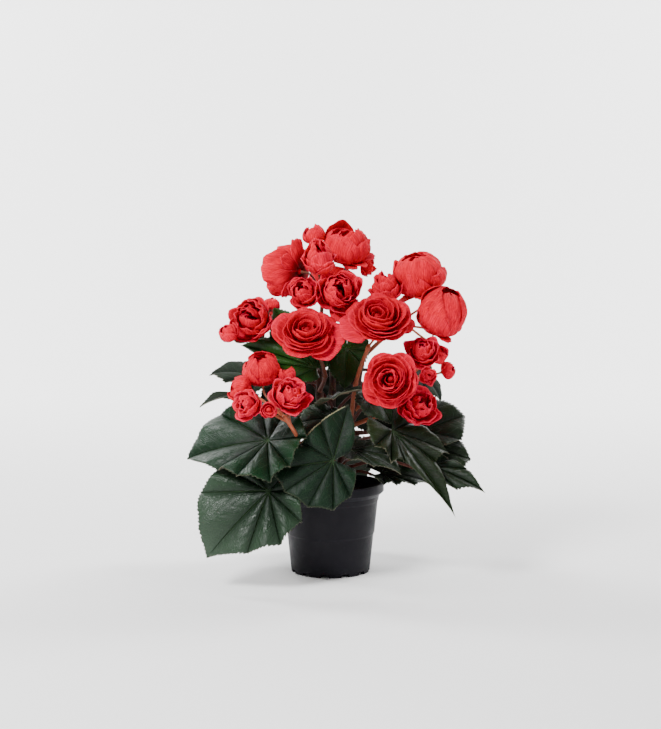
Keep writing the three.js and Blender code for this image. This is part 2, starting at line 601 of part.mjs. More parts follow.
// Adds a petal to a skin, in the place of the facet between two points below and two above.
function growPetal(positions, triangles, low, high, { points, triangles: cells }) {
  const normals = surfaceNormals(points, cells);
  const inner = [...high];
  const outer = [...low];
  for (let i = 2; i < points.length; i++) {
    for (const [side, list] of [[0.5, inner], [-0.5, outer]]) {
      list.push(positions.push(points[i].clone().addScaledVector(normals[i], side * PETAL)) - 1);
    }
  }
  const directed = new Set(cells.flatMap(([a, b, c]) => [`${a},${b}`, `${b},${c}`, `${c},${a}`]));
  for (const [a, b, c] of cells) {
    triangles.push([inner[a], inner[b], inner[c]], [outer[a], outer[c], outer[b]]);
  }
  for (const edge of directed) {
    const [a, b] = edge.split(",").map(Number);
    if (directed.has(`${b},${a}`) || a + b === 1) continue;
    triangles.push([inner[b], inner[a], outer[a]], [inner[b], outer[a], outer[b]]);
  }
}

// Stems: three main stems rise from one crown; leaf stalks and flower stalks branch from them.
const MAIN_STEMS = [
  [[-3, -2, 62], [-6, -4, 95], [-12, -8, 190], [-13, -2, 262]],
  [[3, -2, 62], [6, -3, 95], [26, -3, 185], [36, 4, 245]],
  [[0, 3, 62], [0, 6, 95], [2, 26, 190], [4, 30, 262]],
];
// A flower stalk leaves a main stem at a share of its height and runs through these points.
const CLUSTERS = {
  top: { from: [0, 0.98], through: [[-10, -2, 290], [-9, -2, 310]] },
  left: { from: [0, 0.5], through: [[-56, 2, 205], [-72, 7, 244], [-79, 4, 265]] },
  rose_left: { from: [0, 0.7], through: [[-6, -38, 224], [-15, -54, 252]] },
  rose_right: { from: [1, 0.6], through: [[28, -34, 216], [41, -56, 256]] },
  right: { from: [1, 0.97], through: [[62, 4, 264], [88, 12, 286]] },
  middle: { from: [1, 0.65], through: [[62, -10, 206], [88, -26, 222]] },
  low_right: { from: [1, 0.55], through: [[60, -22, 180], [76, -38, 187]] },
  low: { from: [0, 0.2], through: [[-31, -68, 144], [-36, -88, 164], [-48, -93, 184]] },
  back: { from: [2, 0.97], through: [[6, 40, 270]] },
};

const mainCurves = MAIN_STEMS.map(
  (path) => new THREE.CatmullRomCurve3(path.map(vec), false, "centripetal"),
);
const onStem = ([number, share]) => mainCurves[number].getPointAt(share);

function leafStalk(leaf) {
  const axes = leafAxes(leaf);
  const up = axes.up.clone().addScaledVector(axes.along, -4 * leaf.arch).normalize();
  const end = vec(leaf.stalk).addScaledVector(up, -(BLADE / 2 + SEAT_GAP + 0.1));
  const below = end.clone().addScaledVector(up, -(leaf.rise ?? 8));
  const start = onStem(leaf.from);
  const middle = start.clone().lerp(below, 0.5);
  middle.z += leaf.bow ?? 4;
  return tube([start, middle, below, end], 2.2, 1.3, 4, 3);
}

// Flower stalks leave the last stretch of their cluster's stalk one below the other.
function bloomStalk(bloom) {
  const { from, through } = CLUSTERS[bloom.cluster];
  const fellows = BLOOMS.filter((other) => other.cluster === bloom.cluster);
  const before = through.length > 1 ? vec(through.at(-2)) : onStem(from);
  const down = (0.6 * fellows.indexOf(bloom)) / fellows.length;
  const start = vec(through.at(-1)).lerp(before, down);
  const out = vec(bloom.facing).normalize();
  const end = bloomSeat(bloom).addScaledVector(out, -SEAT_GAP);
  const behind = end.clone().addScaledVector(out, -Math.min(10, 0.6 * bloom.radius));
  return tube([start, behind, end], 1.5, 1.1, 4, 2);
}

function stemsSolid() {
  const crown = tube(
    [vec([0, 0, CROWN.bottom]), vec([0, 0, CROWN.top])], CROWN.radius, CROWN.radius, 12, 1);
  const mains = MAIN_STEMS.map((path) => tube(path.map(vec), 5, 3.2, 7, 5));
  const clusters = Object.values(CLUSTERS).map(({ from, through }) =>
    tube([onStem(from), ...through.map(vec)], 2.6, 2, 6, 1 + through.length));
  return joined([
    crown,
    ...mains,
    ...clusters,
    ...LEAVES.map(leafStalk),
    ...BLOOMS.map(bloomStalk),
  ]);
}

// The object

const begonia = new THREE.Group();
begonia.name = "potted_begonia";

function place(name, solid, material) {
  const mesh = new THREE.Mesh(geometryOf(solid), material);
  mesh.name = name;
  begonia.add(mesh);
}

LEAVES.forEach((leaf, i) => {
  leaf.phase = draw(i + 1);
  leaf.veins ??= COMMON_VEINS;
});
BLOOMS.forEach((bloom, i) => (bloom.phase = draw(i + 101)));

place("pot", potSolid(), materials.pot);
place("soil", soilSolid(), materials.soil);
place("stems", stemsSolid(), materials.stem);
LEAVES.forEach((leaf) => place(`leaf_${leaf.name}`, leafSolid(leaf), materials.leaf));
BLOOMS.forEach((bloom) => place(`bloom_${bloom.name}`, bloomSolid(bloom), materials.petal));

export default begonia;
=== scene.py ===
# The finished look of a double begonia in a nursery pot. Leaves, petals, stems, pot and soil are
# built finely here from the same places and sizes as the model's solids, in millimetres.
import math
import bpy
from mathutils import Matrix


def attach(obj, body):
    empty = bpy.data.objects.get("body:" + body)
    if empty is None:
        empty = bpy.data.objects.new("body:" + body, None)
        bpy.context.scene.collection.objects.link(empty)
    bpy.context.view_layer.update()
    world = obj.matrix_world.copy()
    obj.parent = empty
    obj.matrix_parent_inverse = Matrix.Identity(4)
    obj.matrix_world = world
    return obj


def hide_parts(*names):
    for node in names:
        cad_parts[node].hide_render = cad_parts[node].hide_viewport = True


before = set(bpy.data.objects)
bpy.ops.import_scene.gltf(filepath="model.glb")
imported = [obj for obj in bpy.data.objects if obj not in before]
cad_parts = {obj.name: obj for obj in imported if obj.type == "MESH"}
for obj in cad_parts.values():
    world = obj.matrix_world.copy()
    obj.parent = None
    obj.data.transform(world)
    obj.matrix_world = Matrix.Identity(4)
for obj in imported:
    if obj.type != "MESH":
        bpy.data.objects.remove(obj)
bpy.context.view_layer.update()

from types import SimpleNamespace as Facts

import bpy
import numpy as np
from mathutils import Vector

MM = 0.001
FULL_TURN = 2 * math.pi
SEED = 7

# Driving dimensions, in millimetres
POT = Facts(
    height=100, rim_radius=60, rim_depth=9, rim_wall=2.4, rim_slope=0.4, wall=2,
    base_radius=44, neck_radius=54.6, neck=86, bottom=3.4, floor_top=6, sides=180,
    steps=(42, 79), step_rise=2, step=0.7, feet=12, foot_width=4, foot_edge=0.3,
    first_notch=21.6, notch_width=9, floor_lap=1.5
)
SOIL = Facts(top=86, depth=12, hole=9, sides=96, rings=22, bump=1.5, gap=0.4, crumbs=420,
             edge_width=5, crumb_size=(0.7, 2.2), pale_from=0.93)
CROWN = [(58, 12), (80, 12), (88, 10.8), (94, 7.2)]  # height and radius
CROWN_SIDES = 24
LEAF_THICKNESS = 0.7
PETAL_THICKNESS = 0.6

# Teeth, veins and fineness of the leaves, in millimetres; bays and quilt are shares of the length
TOOTH_DEPTH = 2.0
TOOTH_PITCH = 4.2
BAY_DEPTH = 0.04
SIDE_VEIN_SLANT = 0.9
SIDE_VEIN_PITCH = 11.0
QUILT_PITCH = 0.15
RING_PITCH = 4.5
FEWEST_RINGS = 10
SECTOR_COLUMNS = 16
RIM_POINTS = 4
# How high each kind of relief stands on a leaf, as shares of its length
RELIEF = Facts(pleat=0.075, ripple=0.045, quilt=0.005, frill=0.01, rim=0.015)
# How pale a leaf's edge is where it is pale and elsewhere, from 0 to 1
RIM_PALENESS = (0.86, 0.06)

# Stage: a camera at the photograph's viewing angle, lights and a floor, in metres and watts
CAMERA = Facts(place=(0, -1.5, 0.346), aim=(0, 0, 0.232), lens=66.6)
MIDDLE = (0, 0, 0.22)
# Name, place, aim, size and power
LIGHTS = [
    ("key", (-0.9, -1.3, 1.4), MIDDLE, 0.55, 62),
    ("fill", (1.4, -1.3, 0.7), MIDDLE, 1.4, 8),
    ("back", (0.4, 1.3, 1.5), MIDDLE, 1.0, 5),
    ("backdrop", (-2.2, 1.6, 2.4), (-0.4, 3.2, 0.8), 1.6, 225),
    ("backdrop", (2.2, 1.6, 2.4), (0.4, 3.2, 0.8), 1.6, 225),
]
SKY_STRENGTH = 0.26
FLOOR = Facts(front=-3.0, bend=2.0, bend_radius=1.5, top=5.0, half_width=6.0)

# Colours as they look on screen, from 0 to 255
PALETTE = dict(
    # The darkest leaf greens serve as painted shade in the leaves and for random darker clouds
    leaf_blue=(3, 40, 16), leaf_brown=(25, 30, 9), dark_and_shade_blue=(0, 14, 5), dark_and_shade_brown=(9, 12, 3),
    lush=(34, 74, 16), faded=(62, 76, 63), net=(60, 86, 56), side_vein=(52, 84, 54),
    main_vein=(78, 106, 66), pale_rim=(150, 148, 116), rim_brown=(84, 74, 60),
    rim_green=(56, 66, 46), under_dark=(44, 62, 44), under_light=(76, 82, 62),
    under_blush=(86, 42, 38), under_side_vein=(104, 104, 80), under_main_vein=(124, 84, 70),
    under_shade=(8, 18, 8),
    petal_inside_pale=(236, 0, 60), petal_inside_strong=(232, 0, 44),
    petal_outside_pale=(250, 18, 80), petal_outside_strong=(216, 0, 42),
    # The rim reds are brighter, partly the petal's own paler edge and partly a painted highlight
    petal_rim_and_highlight_pale=(255, 44, 94), petal_rim_and_highlight_strong=(224, 4, 50),
    # The base and heart reds are painted shade towards the flower's heart
    petal_base_shade=(170, 0, 22), petal_crease=(146, 0, 18), petal_fold=(166, 0, 24),
    petal_heart_shade=(78, 0, 6), petal_edge_and_highlight=(255, 44, 78),
    trunk=(44, 22, 18), leaf_stalk=(104, 52, 44), stalk=(172, 88, 58), stalk_blotch=(92, 52, 36),
    stalk_streak=(120, 116, 70), stalk_dark=(40, 18, 14),
    pot_dark=(11, 10, 16), pot_light=(18, 16, 24), scuff=(84, 80, 82),
    soil_dark=(22, 14, 10), soil_light=(72, 50, 36), soil_brown=(58, 34, 20), perlite=(196, 188, 172),
)


def mix(a, b, share):
    return a + (b - a) * share


def unit(vector):
    vector = np.asarray(vector, float)
    return vector / np.linalg.norm(vector)


def draw(seed):
    """A repeatable number from 0 to 1 for each seed."""
    x = math.sin(seed * 12.9898) * 43758.5453
    return x - math.floor(x)


def linear(red, green, blue):
    """A colour of the palette as the shader's own numbers."""
    parts = [v / 255 for v in (red, green, blue)]
    return (*[v / 12.92 if v <= 0.04045 else ((v + 0.055) / 1.055) ** 2.4 for v in parts], 1)


# Leaves: each lies from its stalk's end to the tip of its longest lobe and faces along normal. root
# is its main stem and the share of that stem's height. veins gives the angle of each main vein from
# the longest, in degrees, and its share of that one's length. arch lifts the leaf's middle, cup
# folds it up, fall lets its sides hang and point rounds its lobes off. bow and rise lift its stalk.
# tone goes from 0, blue green, to 1, brownish, and fade to 1, pale, or -1, painted shade, at its edge.
# lush is a brighter green, shade a duller look with painted shade on its underside, and pale_rim the
# angles between which its edge is pale.
LEAF_COMMON = dict(arch=0.06, cup=0.05, fall=0.05, point=0.8, teeth=1, bow=4, rise=8, fade=0,
                   fade_power=1, lush=0, shade=0, pale_rim=(0, 0),
                   veins={-150: 0.46, -98: 0.62, -46: 0.74, 0: 1, 46: 0.68, 98: 0.56, 150: 0.4})
# Leaves at the back hang more.
BACK = dict(arch=0.08, fall=0.1)


def leaf(name, stalk, tip, normal, root, **own):
    """A leaf's facts with its own axes: along its longest vein, across and up out of its face."""
    stalk = np.array(stalk, float)
    along = np.array(tip, float) - stalk
    length = np.linalg.norm(along)
    along /= length
    up = unit(normal - np.dot(normal, along) * along)
    facts = dict(name=name, stalk=stalk, length=length, along=along, across=np.cross(up, along),
                 up=up, root=root)
    return Facts(**LEAF_COMMON | facts | own)


LEAVES = [
    leaf("left_upper", (-66, -80, 157), (-157, -40, 131), (-0.45, -0.55, 0.7), (0, 0.34), arch=0.05,
         cup=0.03, tone=0.05, veins={-179.8: 0.42, -107: 0.46, -71: 0.66, -38: 0.85, 0: 1, 32: 0.6,
         62: 0.53, 100: 0.55, 128: 0.46, 179.8: 0.42}),
    leaf("left_lower", (-65, -92, 105), (-131, -96, 34), (-0.3, -0.88, 0.35), (0, 0.2), arch=0.04,
         cup=0.03, bow=18, tone=0.2, fade=0.85, fade_power=1.8, veins={-179.6: 0.36, -98: 0.42,
         -74: 0.64, -46: 0.8, 0: 1, 28: 0.72, 60: 0.62, 92: 0.51, 135: 0.36, 179.6: 0.36}),
    leaf("front", (3, -88, 137), (-64, -100, 121), (0.1, -0.93, 0.36), (0, 0.26), arch=0.05, cup=0.02,
         fall=0.08, tone=0.0, fade=-0.85, fade_power=0.6, pale_rim=(-118, -22), teeth=0.45,
         shade=0.35, veins={-165: 0.3, -121: 0.96, -88: 0.64, -45: 0.56, -5: 1, 18: 0.89, 46: 0.82,
         74: 0.77, 100: 0.62, 145: 0.36}),
    leaf("front_rear", (5, -50, 177), (-31, -64, 157), (-0.2, -0.7, 0.7), (0, 0.42), tone=0.5,
         fade=0.45, veins={-155: 0.3, -99: 0.5, -62: 0.86, -30: 0.96, 0: 1, 28: 0.7, 80: 0.5,
         140: 0.3}),
    leaf("centre_shelf", (-2, -40, 196), (40, -68, 210), (0.05, -0.2, 0.97), (0, 0.55), arch=0.05,
         cup=0.06, tone=0.4, veins={-150: 0.3, -98: 0.42, -46: 0.55, 0: 1, 46: 0.45, 98: 0.3,
         150: 0.2}),
    leaf("centre_right", (47, -34, 200), (66, -48, 170), (0.3, -0.75, 0.6), (1, 0.55), cup=0.06,
         tone=0.5, veins={-150: 0.5, -98: 0.65, -55: 0.75, 0: 1, 54: 0.7, 100: 0.6, 150: 0.4}),
    leaf("right_drooping", (66, -66, 166), (132, -98, 78), (0.3, -0.8, 0.52), (1, 0.42), arch=0.05,
         cup=0.06, tone=0.8, point=0.6, veins={-160: 0.26, -80: 0.28, -44: 0.38, -22: 0.34, 0: 1,
         16: 0.5, 34: 0.58, 84: 0.22, 140: 0.3}),
    leaf("right_upper", (102, -40, 161), (149, -22, 177), (0.1, -0.75, 0.65), (1, 0.5), cup=0.04,
         tone=0.6, veins={-155: 0.36, -85: 0.5, -40: 0.8, 0: 1, 36: 0.92, 80: 0.7, 140: 0.4}),
    leaf("right_middle", (112, -38, 143), (154, -42, 131), (0.1, -0.85, 0.5), (1, 0.36), tone=0.7,
         veins={-150: 0.4, -85: 0.5, -22: 0.95, 0: 1, 30: 0.76, 80: 0.6, 140: 0.4}),
    leaf("right_long", (104, -59, 126), (163, -95, 104), (0.1, -0.8, 0.6), (1, 0.28), arch=0.08,
         cup=0.06, bow=12, tone=0.5, veins={-130: 0.12, -60: 0.16, -17: 0.7, 0: 1, 16: 0.66, 36: 0.36,
         110: 0.14}),
    leaf("right_low", (56, -22, 113), (110, -18, 100), (0.2, -0.4, 0.9), (1, 0.2), cup=0.03, bow=10,
         rise=5, tone=0.4, veins={-150: 0.3, -80: 0.36, -48: 0.5, -22: 0.75, 0: 1, 30: 0.9, 75: 0.7,
         140: 0.4}),
    leaf("inner_right", (22, -54, 143), (76, -78, 120), (0.15, -0.5, 0.85), (1, 0.26), cup=0.06,
         tone=0.6, veins={-140: 0.3, -62: 0.38, -20: 0.6, 0: 1, 20: 0.75, 50: 0.5, 130: 0.25}),
    leaf("left_back_dark", (-82, 14, 216), (-139, 34, 217), (-0.1, -0.3, 0.95), (0, 0.75), cup=0.06,
         tone=0.3, fade=-0.9, shade=0.9, **BACK),
    leaf("left_back_curled", (-92, -2, 195), (-146, -14, 185), (-0.1, -0.15, 1), (0, 0.55), arch=0.1,
         cup=0.1, fall=0.1, tone=0.6, fade=-0.4, shade=0.8, veins={-150: 0.3, -98: 0.4, -40: 0.5,
         0: 1, 40: 0.5, 98: 0.4, 150: 0.3}),
    leaf("left_behind", (-76, -24, 171), (-131, -20, 156), (-0.3, -0.75, 0.6), (0, 0.44), tone=0.7,
         shade=0.6, veins={-165: 0.55, -90: 0.5, -52: 0.6, -20: 0.72, 0: 1, 43: 0.66, 90: 0.55,
         160: 0.65}),
    leaf("upper_mid", (-16, -28, 230), (-100, -6, 254), (-0.15, -0.88, 0.45), (0, 0.8), arch=0.04,
         cup=0.03, tone=0.1, lush=0.7, veins={-155: 0.14, -95: 0.3, -62: 0.6, -37: 1, -16: 0.72, 0: 1,
         14: 0.62, 50: 0.36, 130: 0.12}),
    leaf("centre_upright", (18, -12, 250), (15, -32, 206), (0.1, -0.9, 0.4), (1, 0.8), cup=0.06,
         fall=0.1, tone=0.1, lush=0.7, veins={-178: 0.56, -130: 0.6, -90: 0.54, -50: 0.64, 0: 1,
         50: 0.56, 90: 0.54, 130: 0.6, 178: 0.56}),
    leaf("right_behind", (98, 30, 224), (126, 30, 186), (0.5, -0.4, 0.75), (2, 0.8), tone=0.4,
         fade=-0.6, shade=0.9, **BACK),
    leaf("right_rear", (82, 30, 152), (146, 66, 138), (0.25, 0.1, 0.95), (2, 0.46), tone=0.3,
         shade=0.6, **BACK),
    leaf("back_inner", (39, 52, 206), (56, 69, 140), (0.2, 0.8, 0.5), (2, 0.55), tone=0.3, shade=0.8,
         **BACK, veins={-150: 0.5, -98: 0.7, -46: 0.9, 0: 1, 46: 0.88, 98: 0.7, 150: 0.5}),
    leaf("back_left", (-62, 58, 146), (-160, 76, 124), (-0.4, 0.3, 0.86), (2, 0.35), tone=0.1,
         shade=0.6, **BACK, veins={-160: 0.6, -98: 0.5, -46: 0.64, 0: 1, 46: 0.68, 98: 0.56,
         160: 0.6}),
    leaf("back_middle", (4, 84, 122), (-10, 122, 52), (0, 0.8, 0.6), (2, 0.22), cup=0.04, fall=0.1,
         tone=0.2, shade=0.8),
    leaf("back_right", (68, 74, 132), (113, 118, 98), (0.4, 0.45, 0.8), (2, 0.4), tone=0.3, shade=0.6,
         **BACK),
    leaf("back_upper", (-23, 62, 211), (-55, 78, 150), (-0.2, 0.8, 0.5), (2, 0.6), tone=0.2,
         shade=0.8, **BACK, veins={-150: 0.5, -98: 0.7, -46: 0.9, 0: 1, 46: 0.9, 98: 0.7, 150: 0.5}),
]
for number, thing in enumerate(LEAVES, 1):
    thing.phase = draw(number)

# Petals of each form. rings run from the outermost in: the number of petals, how far the rim stands
# from the flower's axis and over its seat, as shares of the radius, and its lean in degrees. swell
# is how far a petal swells along its middle and ridge how sharply, tip how pointed it is, wave how
# wavy, fold how folded, chance how unlike the others and span how far it overlaps them. tone goes
# from 0, pale, to 1, strong red.
FORMS = {
    "rose": dict(
        swell=0, ridge=2, tip=0, wave=0.014, fold=0.006, chance=1.2, span=1.36, tone=0.85,
        rings=[(5, 1, 0.28, 66), (5, 0.88, 0.42, 46), (4, 0.76, 0.53, 28), (4, 0.64, 0.6, 14),
               (3, 0.53, 0.63, 6), (3, 0.42, 0.63, 0), (3, 0.31, 0.58, -6), (3, 0.18, 0.5, -12)]),
    "small": dict(
        swell=0.09, ridge=1.1, tip=0.12, wave=0.05, fold=0.02, chance=2.2, span=1.2, tone=0.5,
        rings=[(4, 1, 0.34, 60), (4, 0.8, 0.5, 40), (4, 0.6, 0.64, 22), (4, 0.42, 0.72, 10),
               (3, 0.26, 0.76, 4), (3, 0.14, 0.7, 0)]),
    "cup": dict(
        swell=0.09, ridge=1.7, tip=0.09, wave=0.035, fold=0.04, chance=1.9, span=1.14, tone=0.8,
        rings=[(4, 0.82, 0.56, 8), (4, 0.74, 0.7, 0), (4, 0.58, 0.76, -6), (3, 0.42, 0.76, -10),
               (3, 0.24, 0.7, -14)]),
    "bud": dict(
        swell=0.2, ridge=1.6, tip=0.25, wave=0, fold=0.03, chance=0.8, span=1.1, tone=0.6,
        rings=[(3, 0.85, 1.1, 8), (3, 0.68, 1.2, 2), (2, 0.4, 1.15, -6)]),
}
INNER_SPAN = 1.45
# Each ring is turned against the one outside it, in radians
RING_TURN = 2.3
# A petal's length against the straight line from its root to its rim
PETAL_RUN = 1.15
# Chance in a petal's reach, height, lean in degrees, place and tone; it grows to the heart
WOBBLE = Facts(reach=0.06, height=0.08, lean=9, place=0.13, tone=0.2, inner=1.5, most=2.2)
# The heart is deeper in colour, and guard petals that hang back are deeper red as painted shade
HEART_TONE = 0.6
INNER_TONE = 0.25
GUARD = Facts(tone=-0.25, hanging_lean=88, hanging_tone=0.3, wobble=0.4)
# The heart's height and radius as shares of the flower's, and its place in the petals' colours,
# which sets how much painted shade at the heart it takes
HEARTS = {"rose": (0.5, 0.13, 9), "small": (0.6, 0.13, 18), "cup": (0.6, 0.13, 18),
          "bud": (1.3, 0.3, 18)}
# Values that change from the outermost ring of petals to the innermost: where a petal's root lies,
# its lean there in degrees, how far its lip turns out and how rounded its corners are
BY_RING = {"root_reach": (0.17, 0.07), "root_height": (0.08, 0.14), "root_lean": (84, 45),
           "lip": (0.5, 0.25), "corner": (0.3, 0.14), "corner_power": (2.6, 4)}
# Values that change from a shut flower to an open one: how strongly a petal holds its lean at both
# ends, how far its edge stands out over the next one and how far its seat lies behind its centre
BY_OPENING = {"pull": (0.62, 0.42), "lap": (0.075, 0.035), "seat": (0.8, 0.33)}
BUD_SEAT = 0.95
# A shut flower's rims against those of an open one: their reach, rise and lean
SHUT = Facts(reach=0.86, rise=0.62, lean=-55)
# Rows and columns of points on a petal of the smallest flower and of one with the large radius
PETAL_ROWS = (8, 13)
PETAL_COLUMNS = (9, 17)
LARGE_RADIUS = 34

# Blooms: centre, facing, radius and opening from 0, shut, to 1, wide. turn is the place of the first
# petal in degrees from the upper side, tall stretches the flower along its axis, close draws its
# rims in, heart shifts its innermost petals by shares of the radius and petals is another form
# whose petals it has. guards are petals that stand apart: place, reach, height, lean, half width.
BLOOM_COMMON = dict(turn=None, tall=1, close=1, heart=(0, 0), guards=())


def bloom(name, form, centre, facing, radius, opening, **own):
    """A flower's facts, with an axis to its upper side, one across and one the way it faces."""
    out = unit(facing)
    guide = (0, 0, 1) if abs(out[2]) < 0.95 else (0, 1, 0)
    upper = unit(np.array(guide) - np.dot(guide, out) * out)
    back = BUD_SEAT if form == "bud" else mix(*BY_OPENING["seat"], opening)
    facts = dict(name=name, form=form, radius=radius, open=opening, upper=upper,
                 side=np.cross(out, upper), out=out,
                 seat=np.array(centre, float) - back * radius * out)
    return Facts(**BLOOM_COMMON | FORMS[own.pop("petals", form)] | facts | own)


# Stalks of clusters are orange-brown, or dark and red-brown
PALE, DARK = 0, 1


def cluster(root, tone, through, blooms):
    """Blooms on one stalk, which leaves a main stem at root and runs through some points."""
    return Facts(root=root, tone=tone, through=through, blooms=blooms)


CLUSTERS = [
    cluster((0, 0.98), DARK, [(-10, -2, 290), (-9, -2, 310)], [
        bloom("top_left", "cup", (-46, -10, 338), (-0.75, 0.5, 0.15), 32, 0.5, turn=-30,
              guards=[(-6, 1.04, 0.4, 70, 34), (-62, 0.9, 0.34, 80, 24), (-150, 0.96, 0.3, 85, 24)]),
        bloom("top_middle", "small", (-13, -37, 347), (-0.1, -0.6, 0.8), 20, 0.35, tall=1.35),
        bloom("top_bud", "bud", (-18, 0, 374), (-0.1, 0, 1), 9.5, 0, tall=1.2, close=0.85),
        bloom("top_right", "cup", (18, 2, 359), (0.1, -0.4, 0.9), 27, 0.45, turn=212, tall=1.32,
              guards=[(-100, 1.15, 0.4, 85, 36), (180, 1.0, 0.2, 105, 30),
              (-150, 1.06, 0.3, 95, 28)]),
        bloom("top_side", "small", (42, 16, 342), (0.9, -0.1, -0.1), 12, 0.1),
        bloom("top_small", "small", (-29, -48, 314), (-0.25, -0.8, 0.35), 19, 0.35),
        bloom("top_front", "small", (10, -46, 315), (0.15, -0.85, 0.4), 27, 0.5,
              guards=[(178, 1.14, 0.1, 95, 36), (-136, 1.08, 0.16, 92, 30)]),
    ]),
    cluster((0, 0.5), DARK, [(-56, 2, 205), (-72, 7, 244), (-79, 4, 265)], [
        bloom("left", "rose", (-87, -20, 284), (-0.3, -0.8, 0.4), 27, 0.4, petals="small"),
        bloom("left_small", "bud", (-110, -42, 270), (-0.5, -0.5, 0.7), 10, 0.3),
        bloom("left_rear", "bud", (-66, 16, 298), (0.3, 0.3, 0.8), 8, 0.1),
    ]),
    cluster((0, 0.7), DARK, [(-6, -38, 224), (-15, -54, 252)], [
        bloom("rose_left", "rose", (-28, -82, 273), (-0.05, -0.75, 0.66), 34, 0.95, turn=20,
              heart=(0.02, -0.12), close=0.92, guards=[(-86, 1.26, 0.12, 80, 36),
              (-124, 1.24, 0.1, 85, 36), (60, 1.08, 0.3, 75, 40), (-46, 1.14, 0.06, 92, 32)]),
    ]),
    cluster((1, 0.6), PALE, [(28, -34, 216), (41, -56, 256)], [
        bloom("rose_right", "rose", (53, -78, 287), (0.05, -0.74, 0.67), 35, 0.9, turn=0,
              heart=(0.05, 0.12), close=0.92, guards=[(-98, 1.0, 0.16, 92, 30),
              (98, 1.24, 0.08, 85, 42), (-60, 1.0, 0.3, 70, 34), (180, 0.76, 0.62, 20, 46),
              (50, 1.12, 0.08, 90, 34)]),
    ]),
    cluster((1, 0.97), PALE, [(62, 4, 264), (88, 12, 286)], [
        bloom("right_small", "small", (60, -18, 314), (-0.1, -0.3, 0.9), 19, 0.4, tall=1.3),
        bloom("right_top", "cup", (99, 6, 326), (-0.25, -0.3, 0.9), 28, 0.3, turn=180, tall=1.2,
              guards=[(-95, 1.0, 1.0, 35, 34), (150, 1.0, 0.1, 115, 30), (-150, 0.98, 0.25, 95, 26),
              (110, 1.0, 0.5, 60, 24)]),
        bloom("right_side", "cup", (119, -22, 283), (0.3, -0.35, 0.85), 25, 0.2, turn=195, tall=1.45,
              close=0.82, guards=[(170, 1.06, 0.2, 100, 30), (-100, 1.0, 0.7, 50, 26),
              (100, 1.0, 0.5, 60, 30)]),
        bloom("right_bud", "bud", (141, 20, 276), (0.8, 0.1, 0.5), 7.5, 0.1),
    ]),
    cluster((1, 0.65), PALE, [(62, -10, 206), (88, -26, 222)], [
        bloom("middle_open", "small", (99, -56, 251), (-0.1, -0.8, 0.5), 20, 0.5, tone=0.1),
        bloom("middle_small", "bud", (117, -40, 248), (0.6, -0.5, 0.6), 11, 0.3),
        bloom("middle_bud", "bud", (128, -33, 228), (0.9, -0.2, 0.3), 8, 0.1),
        bloom("middle_round", "small", (104, -72, 225), (0.2, -0.9, 0.2), 10, 0.6),
        bloom("rose_low", "rose", (61, -102, 224), (-0.3, -0.94, 0.15), 31, 0.85, turn=35,
              heart=(0.03, -0.1), chance=1.8, guards=[(190, 0.34, 0.74, 42, 60),
              (75, 0.28, 0.78, 34, 60), (310, 0.32, 0.76, 40, 50)]),
    ]),
    cluster((1, 0.55), PALE, [(60, -22, 180), (76, -38, 187)], [
        bloom("low_right", "small", (93, -72, 193), (0.3, -0.8, 0.5), 25, 0.6, turn=-20, tone=0.15),
    ]),
    cluster((0, 0.2), PALE, [(-31, -68, 144), (-36, -88, 164), (-48, -93, 184)], [
        bloom("low_tall", "cup", (-74, -50, 227), (-0.05, -0.4, 0.9), 18, 0.1, turn=205, tall=1.2),
        bloom("low_side", "cup", (-96, -68, 211), (-0.8, -0.4, 0.4), 15, 0.15),
        bloom("low_left", "small", (-88, -94, 197), (-0.4, -0.85, 0.2), 17, 0.4, tone=0.05),
        bloom("low_round", "bud", (-64, -108, 193), (0, -0.9, 0.3), 8.5, 0.6),
        bloom("low_rose", "small", (-43, -91, 206), (0.15, -0.75, 0.6), 23, 0.55, turn=160,
              tone=0.05),
        bloom("low_rear", "bud", (-47, -54, 226), (0.15, -0.1, 0.95), 9, 0.3),
    ]),
    cluster((2, 0.97), DARK, [(6, 40, 270)], [
        bloom("back_top", "rose", (4, 64, 318), (0.1, 0.8, 0.6), 32, 0.9),
        bloom("back_left", "rose", (-84, 50, 280), (-0.6, 0.7, 0.4), 24, 0.7),
        bloom("back_right", "rose", (58, 64, 284), (0.5, 0.75, 0.4), 30, 0.8),
        bloom("back_low", "rose", (-26, 92, 260), (-0.1, 0.95, 0.25), 28, 0.9),
    ]),
]
BLOOMS = [thing for group in CLUSTERS for thing in group.blooms]
for number, thing in enumerate(BLOOMS, 101):
    if thing.turn is None:
        thing.turn = 360 * draw(number)

# Stems: three main stems rise from one crown; leaf stalks and flower stalks branch from them
MAIN_STEMS = [
    [(-3, -2, 62), (-6, -4, 95), (-12, -8, 190), (-13, -2, 262)],
    [(3, -2, 62), (6, -3, 95), (26, -3, 185), (36, 4, 245)],
    [(0, 3, 62), (0, 6, 95), (2, 26, 190), (4, 30, 262)],
]
# Stalks: their radius at both ends, sides and points along them, where their knots lie and how much
# they swell there, and their place between dark wood, 0, and a pale flower stalk, 1
STALKS = {
    "main": Facts(ends=(5, 3.2), sides=16, points=121, kind=0, swelling=0.22,
                 knots=[0.16, 0.3, 0.42, 0.55, 0.68, 0.8, 0.92]),
    "cluster": Facts(ends=(2.6, 2), sides=12, points=50, kind=0.8, swelling=0.35,
                    knots=[0.02, 0.5, 0.98]),
    "leaf": Facts(ends=(2.2, 1.3), sides=10, points=26, kind=0.45, swelling=0.4, knots=[0, 1]),
    "bloom": Facts(ends=(1.4, 1.1), sides=10, points=18, kind=1, swelling=0.7, knots=[0, 1]),
}
KNOT_LENGTH = 0.025
LEAF_STALK_TONE = 0.7
# A direction that no stem runs along
ASIDE = (0.31, 0.87, 0.4)


# Pieces from points and faces

def add_object(name, data):
    thing = bpy.data.objects.new(name, data)
    bpy.context.scene.collection.objects.link(thing)
    return thing


def add_mesh(name, points, faces, materials):
    mesh = bpy.data.meshes.new(name)
    mesh.from_pydata(points, [], faces)
    for material in materials:
        mesh.materials.append(material)
    mesh.shade_smooth()
    return add_object(name, mesh)


